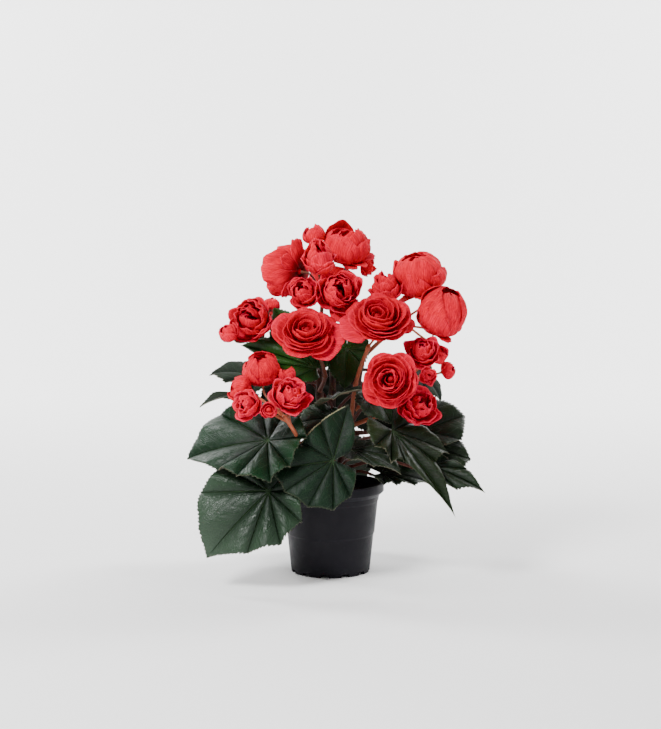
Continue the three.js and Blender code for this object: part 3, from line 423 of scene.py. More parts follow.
def add_piece(node, slot, materials, points, faces, facts, smooth, thickness=0):
    """A mesh piece that stands for a node. facts are named numbers that its materials read, and its
    edges stay sharp where they turn by more than smooth, in degrees."""
    piece = add_mesh("finished_" + node, (points * MM).tolist(), faces, materials)
    mesh = piece.data
    for key, values in facts.items():
        values = np.asarray(values, float)
        kind = "FLOAT_VECTOR" if values.ndim == 2 else "FLOAT"
        layer = mesh.attributes.new(key, kind, "POINT")
        layer.data.foreach_set("vector" if values.ndim == 2 else "value", values.ravel())
    mesh.validate()
    mesh.set_sharp_from_angle(angle=math.radians(smooth))
    if thickness:
        shell = piece.modifiers.new("thickness", "SOLIDIFY")
        shell.thickness = thickness * MM
        shell.offset = 0
        shell.material_offset = 1
        shell.material_offset_rim = 2
    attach(piece, "root")
    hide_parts(node)


def grid_faces(rows, columns, first=0, closed=False):
    """Quads between the rows of a grid of points, which may close on itself along each row."""
    faces = []
    for j in range(rows - 1):
        for i in range(columns if closed else columns - 1):
            a = first + j * columns + i
            b = first + j * columns + (i + 1) % columns
            faces.append((a, b, b + columns, a + columns))
    return faces


class Skin:
    """Points and faces gathered from several grids, with the facts of each point."""

    def __init__(self):
        self.points = []
        self.faces = []
        self.facts = []
        self.tones = []
        self.count = 0

    def add(self, grid, facts=(0, 0, 0), closed=True, capped=False, tone=0.0):
        rows, columns = grid.shape[:2]
        self.faces += grid_faces(rows, columns, self.count, closed)
        if capped:
            last = self.count + (rows - 1) * columns
            self.faces.append(tuple(range(self.count + columns - 1, self.count - 1, -1)))
            self.faces.append(tuple(range(last, last + columns)))
        self.points.append(grid.reshape(-1, 3))
        self.facts.append(np.broadcast_to(facts, grid.shape).reshape(-1, 3))
        self.tones.append(np.full(rows * columns, tone))
        self.count += rows * columns

    def piece(self, node, slot, materials, **edges):
        points = np.concatenate(self.points)
        facts = {slot + "_map": np.concatenate(self.facts), "tone": np.concatenate(self.tones)}
        add_piece(node, slot, materials, points, self.faces, facts, **edges)


# Curves and tubes

def curve_piece(p0, p1, p2, p3, t):
    """The stretch from p1 to p2 of a centripetal Catmull-Rom curve."""
    pairs = ((p0, p1), (p1, p2), (p2, p3))
    d0, d1, d2 = (max(np.linalg.norm(b - a), 1e-6) ** 0.5 for a, b in pairs)
    leave = ((p1 - p0) / d0 - (p2 - p0) / (d0 + d1) + (p2 - p1) / d1) * d1
    arrive = ((p2 - p1) / d1 - (p3 - p1) / (d1 + d2) + (p3 - p2) / d2) * d1
    t = t[:, None]
    return (p1 + leave * t + (-3 * p1 + 3 * p2 - 2 * leave - arrive) * t ** 2
            + (2 * p1 - 2 * p2 + leave + arrive) * t ** 3)


def smooth_path(points, count):
    """Evenly spaced points along the smooth curve through the given ones."""
    points = [np.asarray(p, float) for p in points]
    ends = [2 * points[0] - points[1], *points, 2 * points[-1] - points[-2]]
    t = np.linspace(0, 1, 30, endpoint=False)
    dense = [curve_piece(*ends[k:k + 4], t) for k in range(len(points) - 1)]
    dense = np.concatenate([*dense, points[-1][None]])
    lengths = np.concatenate([[0], np.cumsum(np.linalg.norm(np.diff(dense, axis=0), axis=1))])
    wanted = np.linspace(0, lengths[-1], count)
    return np.stack([np.interp(wanted, lengths, dense[:, k]) for k in range(3)], axis=1)


def even_turns(count):
    return np.linspace(0, FULL_TURN, count, endpoint=False)


def tube(path, radii, sides):
    """Rings of points round a path."""
    tangents = np.gradient(path, axis=0)
    tangents /= np.linalg.norm(tangents, axis=1)[:, None]
    side = unit(np.cross(tangents[0], ASIDE))
    turns = even_turns(sides)
    rings = []
    for point, tangent, radius in zip(path, tangents, radii):
        side = unit(side - np.dot(side, tangent) * tangent)
        other = np.cross(tangent, side)
        ring = np.outer(np.cos(turns), side) + np.outer(np.sin(turns), other)
        rings.append(point + radius * ring)
    return np.array(rings)


def bezier(p, t):
    return (p[0] * (1 - t) ** 3 + 3 * p[1] * t * (1 - t) ** 2 + 3 * p[2] * t ** 2 * (1 - t)
            + p[3] * t ** 3)


# Leaves

def leaf_edge(leaf, step):
    """Angle and reach of a leaf's edge at steps counted in sectors between its main veins, with the
    place in the sector, from 0 at a vein to 1 in the middle, and the angle from the nearest vein."""
    angles, reaches = np.array([*leaf.veins.items()], float).T
    k = np.minimum(step.astype(int), len(angles) - 2)
    part = step - k
    near, far = reaches[k], reaches[k + 1]
    eased = np.where(near > far, part ** leaf.point, 1 - (1 - part) ** leaf.point)
    reach = mix(near, far, eased) * (1 - BAY_DEPTH * np.sin(math.pi * part))
    angle = np.radians(mix(angles[k], angles[k + 1], part))
    away = np.radians(np.minimum(part, 1 - part) * (angles[k + 1] - angles[k]))
    return angle, reach, np.sin(math.pi * part), away


def leaf_points(leaf, step, share, notch):
    """Points of a leaf's surface, for each its distance from the nearest main vein, its place
    along that vein and its distance from the leaf's edge, in millimetres, and its angle."""
    angle, reach, between, away = leaf_edge(leaf, step)
    far = share * (reach - notch)
    u, v = far * np.cos(angle), far * np.sin(angle)
    lateral, forward = far * np.sin(away), far * np.cos(away)
    rise = np.where(u > 0, 4 * u * (1 - u), 4 * u * (1 + 0.5 * u))
    ripple = np.sin(angle) * np.sin(2.6 * angle + 6 * leaf.phase)
    quilt = np.cos(FULL_TURN * (forward - SIDE_VEIN_SLANT * lateral) / QUILT_PITCH)
    frill = np.sin(17 * angle + 9 * leaf.phase)
    z = (leaf.arch * rise + leaf.cup * np.abs(v) - 2 * leaf.fall * v * v
         + RELIEF.pleat * share * between ** 0.7 + RELIEF.ripple * share ** 3 * ripple
         + RELIEF.quilt * quilt * between * share * (1.6 - share)
         + RELIEF.frill * frill * share ** 5 - RELIEF.rim * share ** 12)
    offset = u[..., None] * leaf.along + v[..., None] * leaf.across + z[..., None] * leaf.up
    facts = np.stack(np.broadcast_arrays(lateral, forward, (1 - share) * reach), axis=-1)
    points = leaf.stalk + leaf.length * offset
    angles = np.broadcast_to(np.degrees(angle), u.shape)
    return points.reshape(-1, 3), leaf.length * facts.reshape(-1, 3), angles.ravel()


def leaf_teeth(leaf, step):
    """Depth of the notches along a leaf's edge, as shares of its length: saw teeth that lean to
    the tip of each lobe, uneven in size."""
    angle, reach, _, _ = leaf_edge(leaf, step)
    x, y = (reach * wave(angle) * leaf.length for wave in (np.cos, np.sin))
    run = np.concatenate([[0], np.cumsum(np.hypot(np.diff(x), np.diff(y)))])
    place = run / TOOTH_PITCH + leaf.phase
    size = 0.7 + 0.6 * np.vectorize(draw)(np.floor(place) + 50 * leaf.phase)
    saw = (place % 1) ** 1.3
    return TOOTH_DEPTH * leaf.teeth * size * saw / leaf.length


def leaf_faces(rings, columns):
    """Triangles round the stalk, quads between the rings and a row that ends in the teeth."""
    width = columns + 1
    faces = [(0, 1 + i, 2 + i) for i in range(columns)]
    faces += [(a, d, c, b) for a, b, c, d in grid_faces(rings - 1, width, 1)]
    last = 1 + (rings - 2) * width
    rim = last + width
    for i in range(columns):
        teeth = range(rim + RIM_POINTS * i, rim + RIM_POINTS * (i + 1) + 1)
        faces.append((last + i, *teeth, last + i + 1))
    return faces


def leaf_piece(leaf, looks):
    """A leaf: rings of points from its stalk out, and an outermost one with fine teeth."""
    sectors = len(leaf.veins) - 1
    rings = max(FEWEST_RINGS, round(leaf.length / RING_PITCH))
    columns = sectors * SECTOR_COLUMNS
    step, rim_step = (np.linspace(0, sectors, count + 1) for count in (columns, columns * RIM_POINTS))
    share = np.linspace(0, 1, rings + 1)[1:-1, None]
    parts = [(leaf.stalk[None], [[0, 0, leaf.length]], [0]),
             leaf_points(leaf, step[None], share, 0),
             leaf_points(leaf, rim_step[None], np.ones((1, 1)), leaf_teeth(leaf, rim_step))]
    points, leaf_map, angles = (np.concatenate(part) for part in zip(*parts))
    low, high = leaf.pale_rim
    far = np.clip(leaf_map[:, 1] / leaf.length, 0, 1)
    facts = {key: np.full(len(points), getattr(leaf, key)) for key in ("tone", "lush", "shade")}
    # fade grows towards the edge: a paler leaf where positive, painted shade where negative
    facts |= {"leaf_map": leaf_map, "fade": leaf.fade * far ** leaf.fade_power,
              "pale_rim": np.where((angles > low) & (angles < high), *RIM_PALENESS)}
    add_piece("leaf_" + leaf.name, "leaf", looks, points, leaf_faces(rings, columns), facts,
              smooth=60, thickness=LEAF_THICKNESS)


# Blooms

def to_world(bloom, radial, height, turn, shift):
    """Points at a distance from the flower's axis, a height over its seat and a turn round it."""
    radial, height, turn, shift = (
        part[..., None] for part in np.broadcast_arrays(radial, height, turn, shift))
    flat = np.cos(turn) * bloom.upper + np.sin(turn) * bloom.side
    up, aside = bloom.heart
    off = bloom.radius * (up * bloom.upper + aside * bloom.side)
    return bloom.seat + radial * flat + height * bloom.out + shift * off


def rim_of(bloom, reach, height, lean):
    """A ring's rim in a flower that is less than wide open: closer in, higher and leaning in."""
    shut = 1 - bloom.open
    reach *= mix(1, SHUT.reach, shut) * bloom.close
    return reach, bloom.tall * (height + SHUT.rise * shut), lean + SHUT.lean * shut


def petal(bloom, rim, middle, half_span, depth, wobble):
    """A petal's surface in rows from the flower's seat to the rim. It leaves the seat outwards and
    arrives at the rim with the rim's lean. One side edge lies outwards of the next petal. depth
    goes from 0 in the outermost ring to 1 in the innermost."""
    radius = bloom.radius
    reach, height, lean = rim
    reach *= 1 + WOBBLE.reach * wobble[0]
    height *= 1 + WOBBLE.height * wobble[1]
    lean = math.radians(lean + WOBBLE.lean * wobble[2])
    root_reach, root_height, root_lean, lip, *_ = (mix(*pair, depth) for pair in BY_RING.values())
    leave = math.radians(root_lean)
    chord = math.dist((root_reach, root_height), (reach, height))
    pull, lap, _ = (mix(*pair, bloom.open) for pair in BY_OPENING.values())
    pull *= chord
    curve = [(root_reach, root_height),
             (root_reach + pull * math.sin(leave), root_height + pull * math.cos(leave)),
             (reach - pull * math.sin(lean), height - pull * math.cos(lean)),
             (reach, height)]
    fine = min(radius / LARGE_RADIUS, 1)
    rows, columns = (round(mix(*pair, fine)) for pair in (PETAL_ROWS, PETAL_COLUMNS))
    along = np.linspace(0, 1, rows)[:, None]
    across = np.linspace(-1, 1, columns)[None, :]
    t = along * petal_outline(bloom, across, depth, wobble[0])
    radial, rise = (bezier([p[k] for p in curve], t) for k in range(2))
    radial = radial + lap * across * np.minimum(1, 2 * t) + lip * np.clip(t - 0.75, 0, 1) ** 2
    radial = radial + petal_waves(bloom, across, t, reach, wobble[2])
    radial = np.maximum(radial * radius, 0.3)
    length = PETAL_RUN * chord * radius
    width = half_span * across * np.maximum(radial, 1)
    edge = np.minimum((1 - along) * length, (1 - np.abs(across)) * half_span * radial)
    facts = np.stack(np.broadcast_arrays(width, 30 * t * length / radius, edge), axis=-1)
    return to_world(bloom, radial, rise * radius, middle + half_span * across, depth * t), facts


def petal_waves(bloom, across, t, reach, wobble):
    """How far a petal's waves, its swelling and its folds stand outwards."""
    wave = bloom.wave * np.sin(2.6 * math.pi * across + 6 * wobble) * t ** 3
    swell = bloom.swell * reach * (1 - np.abs(across) ** bloom.ridge) * np.sin(2.4 * t)
    fold = np.sin(4.6 * math.pi * across + 4 * wobble + 1.5 * t) * np.sin(2.2 * t)
    return wave + swell + bloom.fold * fold


def petal_outline(bloom, across, depth, wobble):
    """How far a petal reaches along its length at places from one side edge to the other."""
    corner, power = (mix(*BY_RING[key], depth) for key in ("corner", "corner_power"))
    outline = 1 - corner * np.abs(across) ** power
    outline = outline - bloom.tip * (1 + wobble) * np.abs(across) ** 1.2
    return outline - 0.014 * np.cos(2.2 * math.pi * across + 3 * wobble)


def heart_of(bloom):
    """The closed middle of a flower: petals still rolled into a small egg."""
    high, wide, place = HEARTS[bloom.form]
    share = np.linspace(0, 1, 9)[:, None]
    turn = even_turns(16)[None, :]
    roll = 1 + 0.2 * ((turn / math.pi + 1.4 * share) % 1)
    radial = bloom.radius * wide * roll * np.sin(math.pi * (0.06 + 0.92 * share)) ** 0.6
    height = bloom.radius * high * bloom.tall * (0.1 + 0.9 * share)
    return to_world(bloom, radial, height, turn, share), (0, place, 4)


def flower(bloom, looks, chance):
    """A flower: its heart, its rings of petals, each turned against the last, and guard petals,
    of which those that hang back are deeper red as painted shade."""
    skin = Skin()
    skin.add(*heart_of(bloom), capped=True, tone=HEART_TONE)
    start = math.radians(bloom.turn)
    for k, (number, *rim) in enumerate(bloom.rings):
        depth = k / (len(bloom.rings) - 1)
        for i in range(number):
            wobble = chance.uniform(-1, 1, 4) * (1 + WOBBLE.inner * depth) * bloom.chance
            wobble = np.clip(wobble, -WOBBLE.most, WOBBLE.most)
            middle = start + RING_TURN * k + FULL_TURN * (i + WOBBLE.place * wobble[3]) / number
            half_span = math.pi / number * mix(bloom.span, INNER_SPAN, depth)
            tone = bloom.tone + INNER_TONE * depth + chance.uniform(-WOBBLE.tone, WOBBLE.tone)
            grid, facts = petal(bloom, rim_of(bloom, *rim), middle, half_span, depth, wobble)
            skin.add(grid, facts, closed=False, tone=tone)
    for place, reach, height, lean, half_width in bloom.guards:
        # Guards that hang back take a deeper red as painted shade
        tone = bloom.tone + (GUARD.tone if lean < GUARD.hanging_lean else GUARD.hanging_tone)
        grid, facts = petal(bloom, (reach, height, lean), math.radians(place),
                            math.radians(half_width), 0, chance.uniform(-GUARD.wobble, GUARD.wobble, 4))
        skin.add(grid, facts, closed=False, tone=tone)
    skin.piece("bloom_" + bloom.name, "petal", looks, smooth=70, thickness=PETAL_THICKNESS)


# Stems

MAIN_PATHS = [smooth_path(points, STALKS["main"].points) for points in MAIN_STEMS]


def on_stem(root):
    """The point at a share of the height of a main stem."""
    number, share = root
    return MAIN_PATHS[number][round(share * (STALKS["main"].points - 1))]


def leaf_stalk_path(leaf):
    up = unit(leaf.up - 4 * leaf.arch * leaf.along)
    end = leaf.stalk - 0.2 * up
    below = end - leaf.rise * up
    start = on_stem(leaf.root)
    middle = mix(start, below, 0.5) + (0, 0, leaf.bow)
    return smooth_path([start, middle, below, end], STALKS["leaf"].points)


def cluster_path(group):
    return smooth_path([on_stem(group.root), *group.through], STALKS["cluster"].points)


def bloom_stalk_path(group, number):
    """From the cluster's stalk, lower down for each further flower, to the flower's seat."""
    bloom = group.blooms[number]
    above, below = group.through[-1], [on_stem(group.root), *group.through][-2]
    down = 0.6 * number / len(group.blooms)
    start = mix(np.array(above, float), np.array(below, float), down)
    end = bloom.seat + 0.5 * bloom.out
    behind = end - min(10, 0.6 * bloom.radius) * bloom.out
    return smooth_path([start, behind, end], STALKS["bloom"].points)


def add_stalk(skin, kind, path, tone=0.0):
    """A tube that swells at its knots."""
    stalk = STALKS[kind]
    share = np.linspace(0, 1, len(path))
    radii = mix(*stalk.ends, share)
    for knot in stalk.knots:
        radii = radii * (1 + stalk.swelling * np.exp(-((share - knot) / KNOT_LENGTH) ** 2))
    skin.add(tube(path, radii, stalk.sides), (stalk.kind, 0, 0), capped=True, tone=tone)


def stems_piece(look):
    skin = Skin()
    heights, radii = zip(*CROWN)
    skin.add(tube(np.array([(0, 0, z) for z in heights], float), radii, CROWN_SIDES),
             capped=True)
    for path in MAIN_PATHS:
        add_stalk(skin, "main", path)
    for group in CLUSTERS:
        add_stalk(skin, "cluster", cluster_path(group), group.tone)
    for blade in LEAVES:
        add_stalk(skin, "leaf", leaf_stalk_path(blade), LEAF_STALK_TONE)
    for group in CLUSTERS:
        for number in range(len(group.blooms)):
            add_stalk(skin, "bloom", bloom_stalk_path(group, number), group.tone)
    skin.piece("stems", "stem", [look], smooth=60)


# Pot and soil

def wall_radius(z):
    return mix(POT.base_radius, POT.neck_radius, z / POT.neck)


def turned(profile, sides, start=0.0, sweep=FULL_TURN, closed=True):
    """Rings of points from a profile of distances from the axis and heights."""
    turns = start + np.linspace(0, sweep, sides, endpoint=not closed)
    return np.array([[(r * math.cos(a), r * math.sin(a), z) for a in turns] for r, z in profile])


def rounded_profile(corners, size=0.5, steps=4):
    """A profile whose corners are rounded by small curves."""
    points = [corners[0]]
    t = np.linspace(0, 1, steps)[:, None]
    for trio in zip(corners, corners[1:], corners[2:]):
        before, corner, after = (np.array(p, float) for p in trio)
        start = corner + size * unit(before - corner)
        end = corner + size * unit(after - corner)
        points += ((1 - t) ** 2 * start + 2 * t * (1 - t) * corner + t ** 2 * end).tolist()
    return [*points, corners[-1]]


def pot_profile():
    """From the foot up the outside, over the rim and down the inside to the floor."""
    height, rim, neck, bottom = POT.height, POT.rim_radius, POT.neck, POT.bottom
    wall, floor, slope, rise = POT.wall, POT.floor_top, POT.rim_slope, POT.step_rise
    collar = height - POT.rim_depth
    mouth = rim - POT.rim_wall
    steps = [point for z in POT.steps
             for point in ((wall_radius(z) - POT.step, z), (wall_radius(z + rise), z + rise))]
    return [
        (wall_radius(0) - POT.foot_width, bottom), (wall_radius(bottom), bottom), *steps,
        (wall_radius(neck), neck), (rim, collar), (rim - slope, height), (mouth, height),
        (mouth - slope, collar + 2), (wall_radius(neck) - wall, neck),
        (wall_radius(floor) - wall, floor),
    ]


def foot_profile():
    outer = wall_radius(0)
    inner = outer - POT.foot_width
    edge, bottom = POT.foot_edge, POT.bottom
    return [(inner, bottom), (inner, edge), (inner + edge, 0), (outer - edge, 0), (outer, edge),
            (wall_radius(bottom), bottom)]


def pot_piece(look):
    """The wall with its rim, the floor's two faces, closed to a point, and the ring of feet."""
    skin = Skin()
    skin.add(turned(rounded_profile(pot_profile()), POT.sides))
    for height in (POT.bottom, POT.floor_top):
        radii = [wall_radius(height) - POT.floor_lap, 20, 0.01]
        skin.add(turned([(r, height) for r in radii], POT.sides))
    pitch = 360 / POT.feet
    gap = math.degrees(POT.notch_width / (POT.base_radius - 1))
    for i in range(POT.feet):
        start = math.radians(POT.first_notch + i * pitch + gap / 2)
        foot = turned(foot_profile(), 9, start, math.radians(pitch - gap), closed=False)
        skin.add(foot.transpose(1, 0, 2)[::-1], capped=True)
    skin.piece("pot", "pot", [look], smooth=30)


def soil_bump(x, y):
    return SOIL.bump * (np.sin(x * 0.31 + 1) * np.cos(y * 0.27) + 0.5 * np.sin(0.6 * y - 0.4 * x))


def soil_piece(look, chance):
    """Potting mix: an uneven top, lower at its edge, with crumbs of several sizes lying on it."""
    top, hole, low = SOIL.top, SOIL.hole, SOIL.top - SOIL.depth
    edge = wall_radius(top) - POT.wall - SOIL.gap
    r, a = np.meshgrid(np.linspace(hole, edge, SOIL.rings), even_turns(SOIL.sides), indexing="ij")
    x, y = r * np.cos(a), r * np.sin(a)
    z = top + soil_bump(x, y) + chance.uniform(-0.5, 0.5, x.shape)
    z = np.where(r > edge - SOIL.edge_width, z - (r - edge + SOIL.edge_width) * 0.8, z)
    skin = Skin()
    bottom = turned([(edge, low), (hole, low)], SOIL.sides)
    skin.add(np.concatenate([np.stack([x, y, z], axis=-1), bottom]))
    for _ in range(SOIL.crumbs):
        skin.add(*crumb(edge, chance), capped=True)
    skin.piece("soil", "soil", [look], smooth=50)


def crumb(edge, chance):
    """One crumb: a small lumpy ball, now and then a pale one."""
    reach, turn = chance.uniform(13, edge - 3), chance.uniform(0, FULL_TURN)
    x, y = reach * math.cos(turn), reach * math.sin(turn)
    least, more = SOIL.crumb_size
    size = least + more * chance.uniform() ** 3
    lean = chance.uniform(-1, 1, 3)
    turns = even_turns(7) + lean[0]
    rings = []
    for rise in (-0.9, -0.4, 0.3, 0.85):
        wide = size * math.sqrt(1 - rise * rise) * chance.uniform(0.75, 1.2, 7)
        ring = [wide * np.cos(turns) + rise * lean[1], wide * np.sin(turns) + rise * lean[2],
                np.full(7, 0.75 * size * rise)]
        rings.append(np.stack(ring, axis=-1))
    grid = np.array(rings) + (x, y, SOIL.top + soil_bump(x, y) + 0.4 * size)
    pale = 1.0 if chance.uniform() > SOIL.pale_from else 0.0
    return grid, (pale, chance.uniform(), 0)


# Materials

class Look:
    """A material's nodes, with short calls for the kinds that these looks use."""

    def __init__(self, name):
        self.material = bpy.data.materials.new(name)
        self.material.use_nodes = True
        self.nodes = self.material.node_tree.nodes
        self.links = self.material.node_tree.links
        self.shader = self.nodes["Principled BSDF"]

    def put(self, socket, value):
        """Links or sets a socket. A colour may be given by its name in the palette."""
        if isinstance(value, bpy.types.NodeSocket):
            self.links.new(value, socket)
        else:
            socket.default_value = linear(*PALETTE[value]) if isinstance(value, str) else value

    def set(self, **values):
        """Sets the shader's own sockets, with _ for a space in their names."""
        for name, value in values.items():
            self.put(self.shader.inputs[name.replace("_", " ")], value)

    def node(self, kind, output, inputs, **settings):
        """An output of a new node, with its inputs by their names or numbers."""
        node = self.nodes.new("ShaderNode" + kind)
        for name, value in settings.items():
            setattr(node, name, value)
        for socket, value in inputs.items():
            self.put(node.inputs[socket], value)
        return node.outputs[output]

    def math(self, operation, a, b=0.0, clamp=False):
        return self.node("Math", 0, {0: a, 1: b}, operation=operation, use_clamp=clamp)

    def times(self, a, b):
        return self.math("MULTIPLY", a, b)

    def plus(self, total, *others):
        for other in others:
            total = self.math("ADD", total, other)
        return total

    def blend(self, share, a, b):
        return self.node("Mix", 2, {0: share, 6: a, 7: b}, data_type="RGBA")

    def layers(self, colour, *others):
        """A colour with others laid over it in turn, each given after its share."""
        for share, other in others:
            colour = self.blend(share, colour, other)
        return colour

    def band(self, value, low, high, start=0.0, end=1.0):
        """A smooth change from start to end while a value goes from low to high."""
        inputs = dict(enumerate((value, low, high, start, end)))
        return self.node("MapRange", 0, inputs, interpolation_type="SMOOTHSTEP")

    def facts(self, name):
        """The three numbers that a piece's points carry under a name."""
        vector = self.node("Attribute", "Vector", {}, attribute_name=name)
        return [self.node("SeparateXYZ", k, {0: vector}) for k in range(3)]

    def fact(self, name):
        return self.node("Attribute", "Fac", {}, attribute_name=name)

    def flat(self, x, x_scale, y, y_scale):
        """A place in a flat pattern, from two numbers and their scales."""
        return self.node("CombineXYZ", 0, {0: self.times(x, x_scale), 1: self.times(y, y_scale)})

    def object_place(self):
        return self.node("TexCoord", "Object", {})

    def noise(self, scale, detail=3, roughness=0.5, place=None):
        """Clouds and grain, by the object's own place unless another is given."""
        return self.node("TexNoise", 0, {"Vector": place or self.object_place(), "Scale": scale,
                                         "Detail": detail, "Roughness": roughness})

    def cells(self, scale):
        """Distance from the borders of a net of cells."""
        return self.node("TexVoronoi", "Distance", {"Vector": self.object_place(), "Scale": scale},
                         feature="DISTANCE_TO_EDGE")

    def bump(self, height, distance, strength=1.0):
        self.set(Normal=self.node("Bump", 0, {"Height": height, "Distance": distance,
                                              "Strength": strength}))


def vein_lines(look, lateral, forward, edge):
    """How strongly a point lies on a main vein and on a side vein, from 0 to 1."""
    width = look.band(edge, 0, 60, 0.35, 1.1)
    main = look.math("SUBTRACT", 1.0, look.math("DIVIDE", lateral, width), clamp=True)
    bent = look.math("SUBTRACT", forward, look.times(lateral, SIDE_VEIN_SLANT))
    bent = look.plus(bent, look.times(look.noise(60, 2), 8.0))
    phase = look.math("FRACT", look.math("DIVIDE", bent, SIDE_VEIN_PITCH))
    phase = look.math("ABSOLUTE", look.math("SUBTRACT", phase, 0.5))
    return main, look.band(phase, 0.0, 0.05, 1.0, 0.0)


def leaf_upper_look():
    """Waxy leaf: painted shade along the main veins, greener and duller on the swollen parts between
    them.
    """
    look = Look("leaf_upper")
    lateral, forward, edge = look.facts("leaf_map")
    main, side = vein_lines(look, lateral, forward, edge)
    tone, fade = look.fact("tone"), look.fact("fade")
    # A dark green: painted shade in the leaves, and random darker clouds
    deep = look.blend(tone, "dark_and_shade_blue", "dark_and_shade_brown")
    # Share of the leaf's own green; along the main veins and towards the stalk the rest is painted
    # shade
    ridge = look.math("MAXIMUM", look.band(lateral, 0.2, 8), look.band(forward, 15, 70, 0, 0.75))
    cloud = look.band(look.noise(22), 0.35, 0.68)
    net = look.cells(420)
    colour = look.layers(
        deep,
        (look.times(ridge, look.band(edge, 0, 30, 1, 0.55)),
         look.blend(tone, "leaf_blue", "leaf_brown")),
        (look.fact("lush"), "lush"),
        (look.times(cloud, 0.5), deep),
        # Positive fade pales the leaf towards its edge; negative fade lays painted shade there
        (look.math("MAXIMUM", fade, 0.0), "faded"),
        (look.math("MAXIMUM", look.times(fade, -1.0), 0.0), deep),
        (look.band(net, 0, 0.12, 0.12, 0), "net"),
        (look.times(side, 0.17), "side_vein"),
        (look.times(main, 0.34), "main_vein"),
        (look.times(look.band(edge, 0.6, 2.2, 1, 0), look.fact("pale_rim")), "pale_rim"),
    )
    rough = look.plus(look.band(cloud, 0, 1, 0.3, 0.42), look.times(look.fact("shade"), 0.5))
    look.set(Base_Color=colour, Roughness=rough, Specular_IOR_Level=0.17)
    relief = look.plus(look.times(main, -1.6), look.times(side, -0.5),
                       look.band(net, 0, 0.25, 0, 0.25), look.times(look.noise(160), 0.2))
    look.bump(relief, 0.0007, 0.8)
    return look.material


def leaf_under_look():
    """Paler and duller, with raised veins, a reddish blush in places and painted shade on leaves deep
    in the plant.
    """
    look = Look("leaf_under")
    main, side = vein_lines(look, *look.facts("leaf_map"))
    colour = look.layers(
        look.blend(look.noise(45, 4), "under_dark", "under_light"),
        (look.band(look.noise(16, 2), 0.45, 0.7, 0, 0.45), "under_blush"),
        (look.times(side, 0.4), "under_side_vein"),
        (look.times(main, 0.7), "under_main_vein"),
        # Painted shade over the undersides of leaves that lie deep in the plant
        (look.fact("shade"), "under_shade"),
    )
    look.set(Base_Color=colour, Roughness=0.62, Specular_IOR_Level=0.2)
    relief = look.plus(main, look.times(side, 0.5), look.times(look.noise(220), 0.4))
    look.bump(relief, 0.0008, 0.8)
    return look.material


def leaf_rim_look():
    look = Look("leaf_rim")
    cloud = look.noise(120, 2)
    colour = look.blend(cloud, "rim_brown", "rim_green")
    look.set(Base_Color=look.blend(look.fact("pale_rim"), colour, "pale_rim"), Roughness=0.6)
    return look.material


def petal_look(name):
    """Cloth-like petal, from pale to strong red by its tone: fine creases and veins run from the heart
    to the edge, paler partly as a painted highlight, and painted shade darkens it down to the heart."""
    look = Look(name)
    width, along, rim = look.facts("petal_map")
    tone = look.fact("tone")
    crease, broad = (look.noise(1, detail, rough, look.flat(width, across, along, down))
                     for detail, rough, across, down in ((3, 0.6, 1.1, 0.09), (2, 0.5, 0.16, 0.06)))
    pale = look.math("SUBTRACT", 1.1, tone, clamp=True)
    colour = look.layers(
        look.blend(tone, name + "_pale", name + "_strong"),
        # Painted shade towards the heart; the heart layer below is its darkest part
        (look.band(along, 4, 36, 0.66, 0), "petal_base_shade"),
        (look.band(crease, 0.38, 0.6, 0.62, 0), "petal_crease"),
        (look.band(broad, 0.42, 0.68, 0, 0.5), "petal_fold"),
        (look.band(along, 0, 18, 0.9, 0), "petal_heart_shade"),
        # A paler edge, partly the petal's own colour and partly a painted highlight
        (look.times(pale, look.band(rim, 0.2, 1.2, 0.42, 0)), "petal_edge_and_highlight"),
    )
    look.set(Base_Color=colour, Roughness=0.75, Specular_IOR_Level=0.1)
    look.set(Subsurface_Weight=0.1, Subsurface_Radius=(1.0, 0.1, 0.08), Subsurface_Scale=0.002)
    look.bump(look.plus(crease, look.times(broad, 2.0)), 0.0009, 0.8)
    return look.material


def stem_look():
    """Dark wood at the crown, reddish leaf stalks and orange-brown or dark flower stalks."""
    look = Look("stem")
    kind = look.facts("stem_map")[0]
    cloud, streak = look.noise(90, 4), look.noise(260)
    colour = look.layers(
        look.blend(look.band(kind, 0.1, 0.45), "trunk", "leaf_stalk"),
        (look.band(kind, 0.5, 0.95), "stalk"),
        (look.band(cloud, 0.35, 0.7, 0, 0.5), "stalk_blotch"),
        (look.band(streak, 0.55, 0.75, 0, 0.3), "stalk_streak"),
        (look.times(look.fact("tone"), 0.75), "stalk_dark"),
    )
    look.set(Base_Color=colour, Roughness=0.5, Specular_IOR_Level=0.22)
    look.set(Subsurface_Weight=0.08, Subsurface_Scale=0.002)
    look.bump(look.plus(cloud, streak), 0.0005, 0.6)
    return look.material


def pot_look():
    """Dull black plastic, faintly scuffed."""
    look = Look("pot")
    cloud, scuff = look.noise(14), look.noise(55, 5, 0.7)
    colour = look.blend(cloud, "pot_dark", "pot_light")
    colour = look.blend(look.band(scuff, 0.62, 0.8, 0, 0.25), colour, "scuff")
    look.set(Base_Color=colour, Roughness=look.band(scuff, 0.3, 0.7, 0.4, 0.56))
    look.set(Specular_IOR_Level=0.13)
    look.bump(look.plus(look.noise(900, 2), look.times(cloud, 1.5)), 0.0003, 0.5)
    return look.material


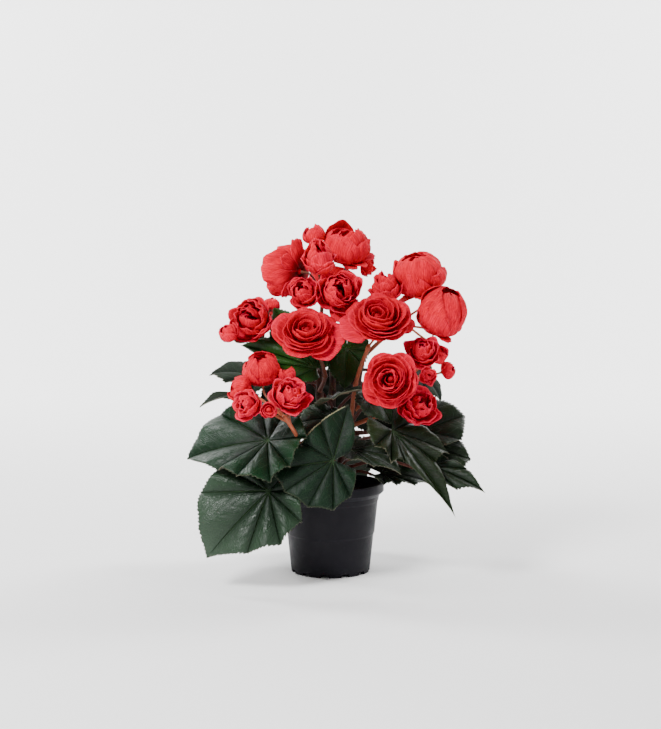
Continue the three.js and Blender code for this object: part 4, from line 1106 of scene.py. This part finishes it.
def soil_look():
    """Dark potting mix with some crumbs of pale perlite."""
    look = Look("soil")
    pale, brown, _ = look.facts("soil_map")
    grain = look.noise(420, 5, 0.7)
    colour = look.blend(grain, "soil_dark", "soil_light")
    colour = look.layers(colour, (look.times(brown, 0.4), "soil_brown"), (pale, "perlite"))
    look.set(Base_Color=colour, Roughness=0.95, Specular_IOR_Level=0.2)
    look.bump(grain, 0.0012)
    return look.material


def floor_look():
    look = Look("floor")
    cloud = look.noise(2.0, 2)
    look.set(Base_Color=look.blend(cloud, (0.88, 0.88, 0.88, 1), (0.9, 0.9, 0.9, 1)))
    look.set(Roughness=0.9, Specular_IOR_Level=0.1)
    return look.material


# Stage

def add_floor():
    """A pale floor that curves up behind the plant."""
    bend, radius = FLOOR.bend, FLOOR.bend_radius
    profile = [(FLOOR.front, 0.0), (bend, 0.0)]
    profile += [(bend + radius * math.sin(a), radius - radius * math.cos(a))
                for a in np.linspace(0.1, math.pi / 2, 12)]
    profile.append((bend + radius, FLOOR.top))
    wide = FLOOR.half_width
    points = [(x, y, z) for y, z in profile for x in (-wide, wide)]
    floor = add_mesh("floor", points, grid_faces(len(profile), 2), [floor_look()])


def point_at(thing, place, aim):
    thing.location = place
    thing.rotation_euler = (Vector(aim) - Vector(place)).to_track_quat("-Z", "Y").to_euler()


def add_lights():
    for name, place, aim, size, power in LIGHTS:
        light = bpy.data.lights.new(name, "AREA")
        light.size = size
        light.energy = power
        point_at(add_object(name, light), place, aim)
    world = bpy.data.worlds.new("studio")
    world.use_nodes = True
    sky = world.node_tree.nodes["Background"].inputs
    sky["Color"].default_value = (1, 1, 1, 1)
    sky["Strength"].default_value = SKY_STRENGTH
    bpy.context.scene.world = world


def add_camera():
    camera = bpy.data.cameras.new("camera")
    camera.lens = CAMERA.lens
    viewer = add_object("camera", camera)
    point_at(viewer, CAMERA.place, CAMERA.aim)
    bpy.context.scene.camera = viewer


# The plant

def build():
    chance = np.random.default_rng(SEED)
    leaf_looks = [leaf_upper_look(), leaf_under_look(), leaf_rim_look()]
    # The third look colours the petals' cut edges brighter, partly as a painted highlight
    petal_looks = [petal_look(name) for name in ("petal_inside", "petal_outside", "petal_rim_and_highlight")]
    pot_piece(pot_look())
    soil_piece(soil_look(), chance)
    stems_piece(stem_look())
    for leaf in LEAVES:
        leaf_piece(leaf, leaf_looks)
    for bloom in BLOOMS:
        flower(bloom, petal_looks, chance)


add_floor()
add_lights()
add_camera()
build()
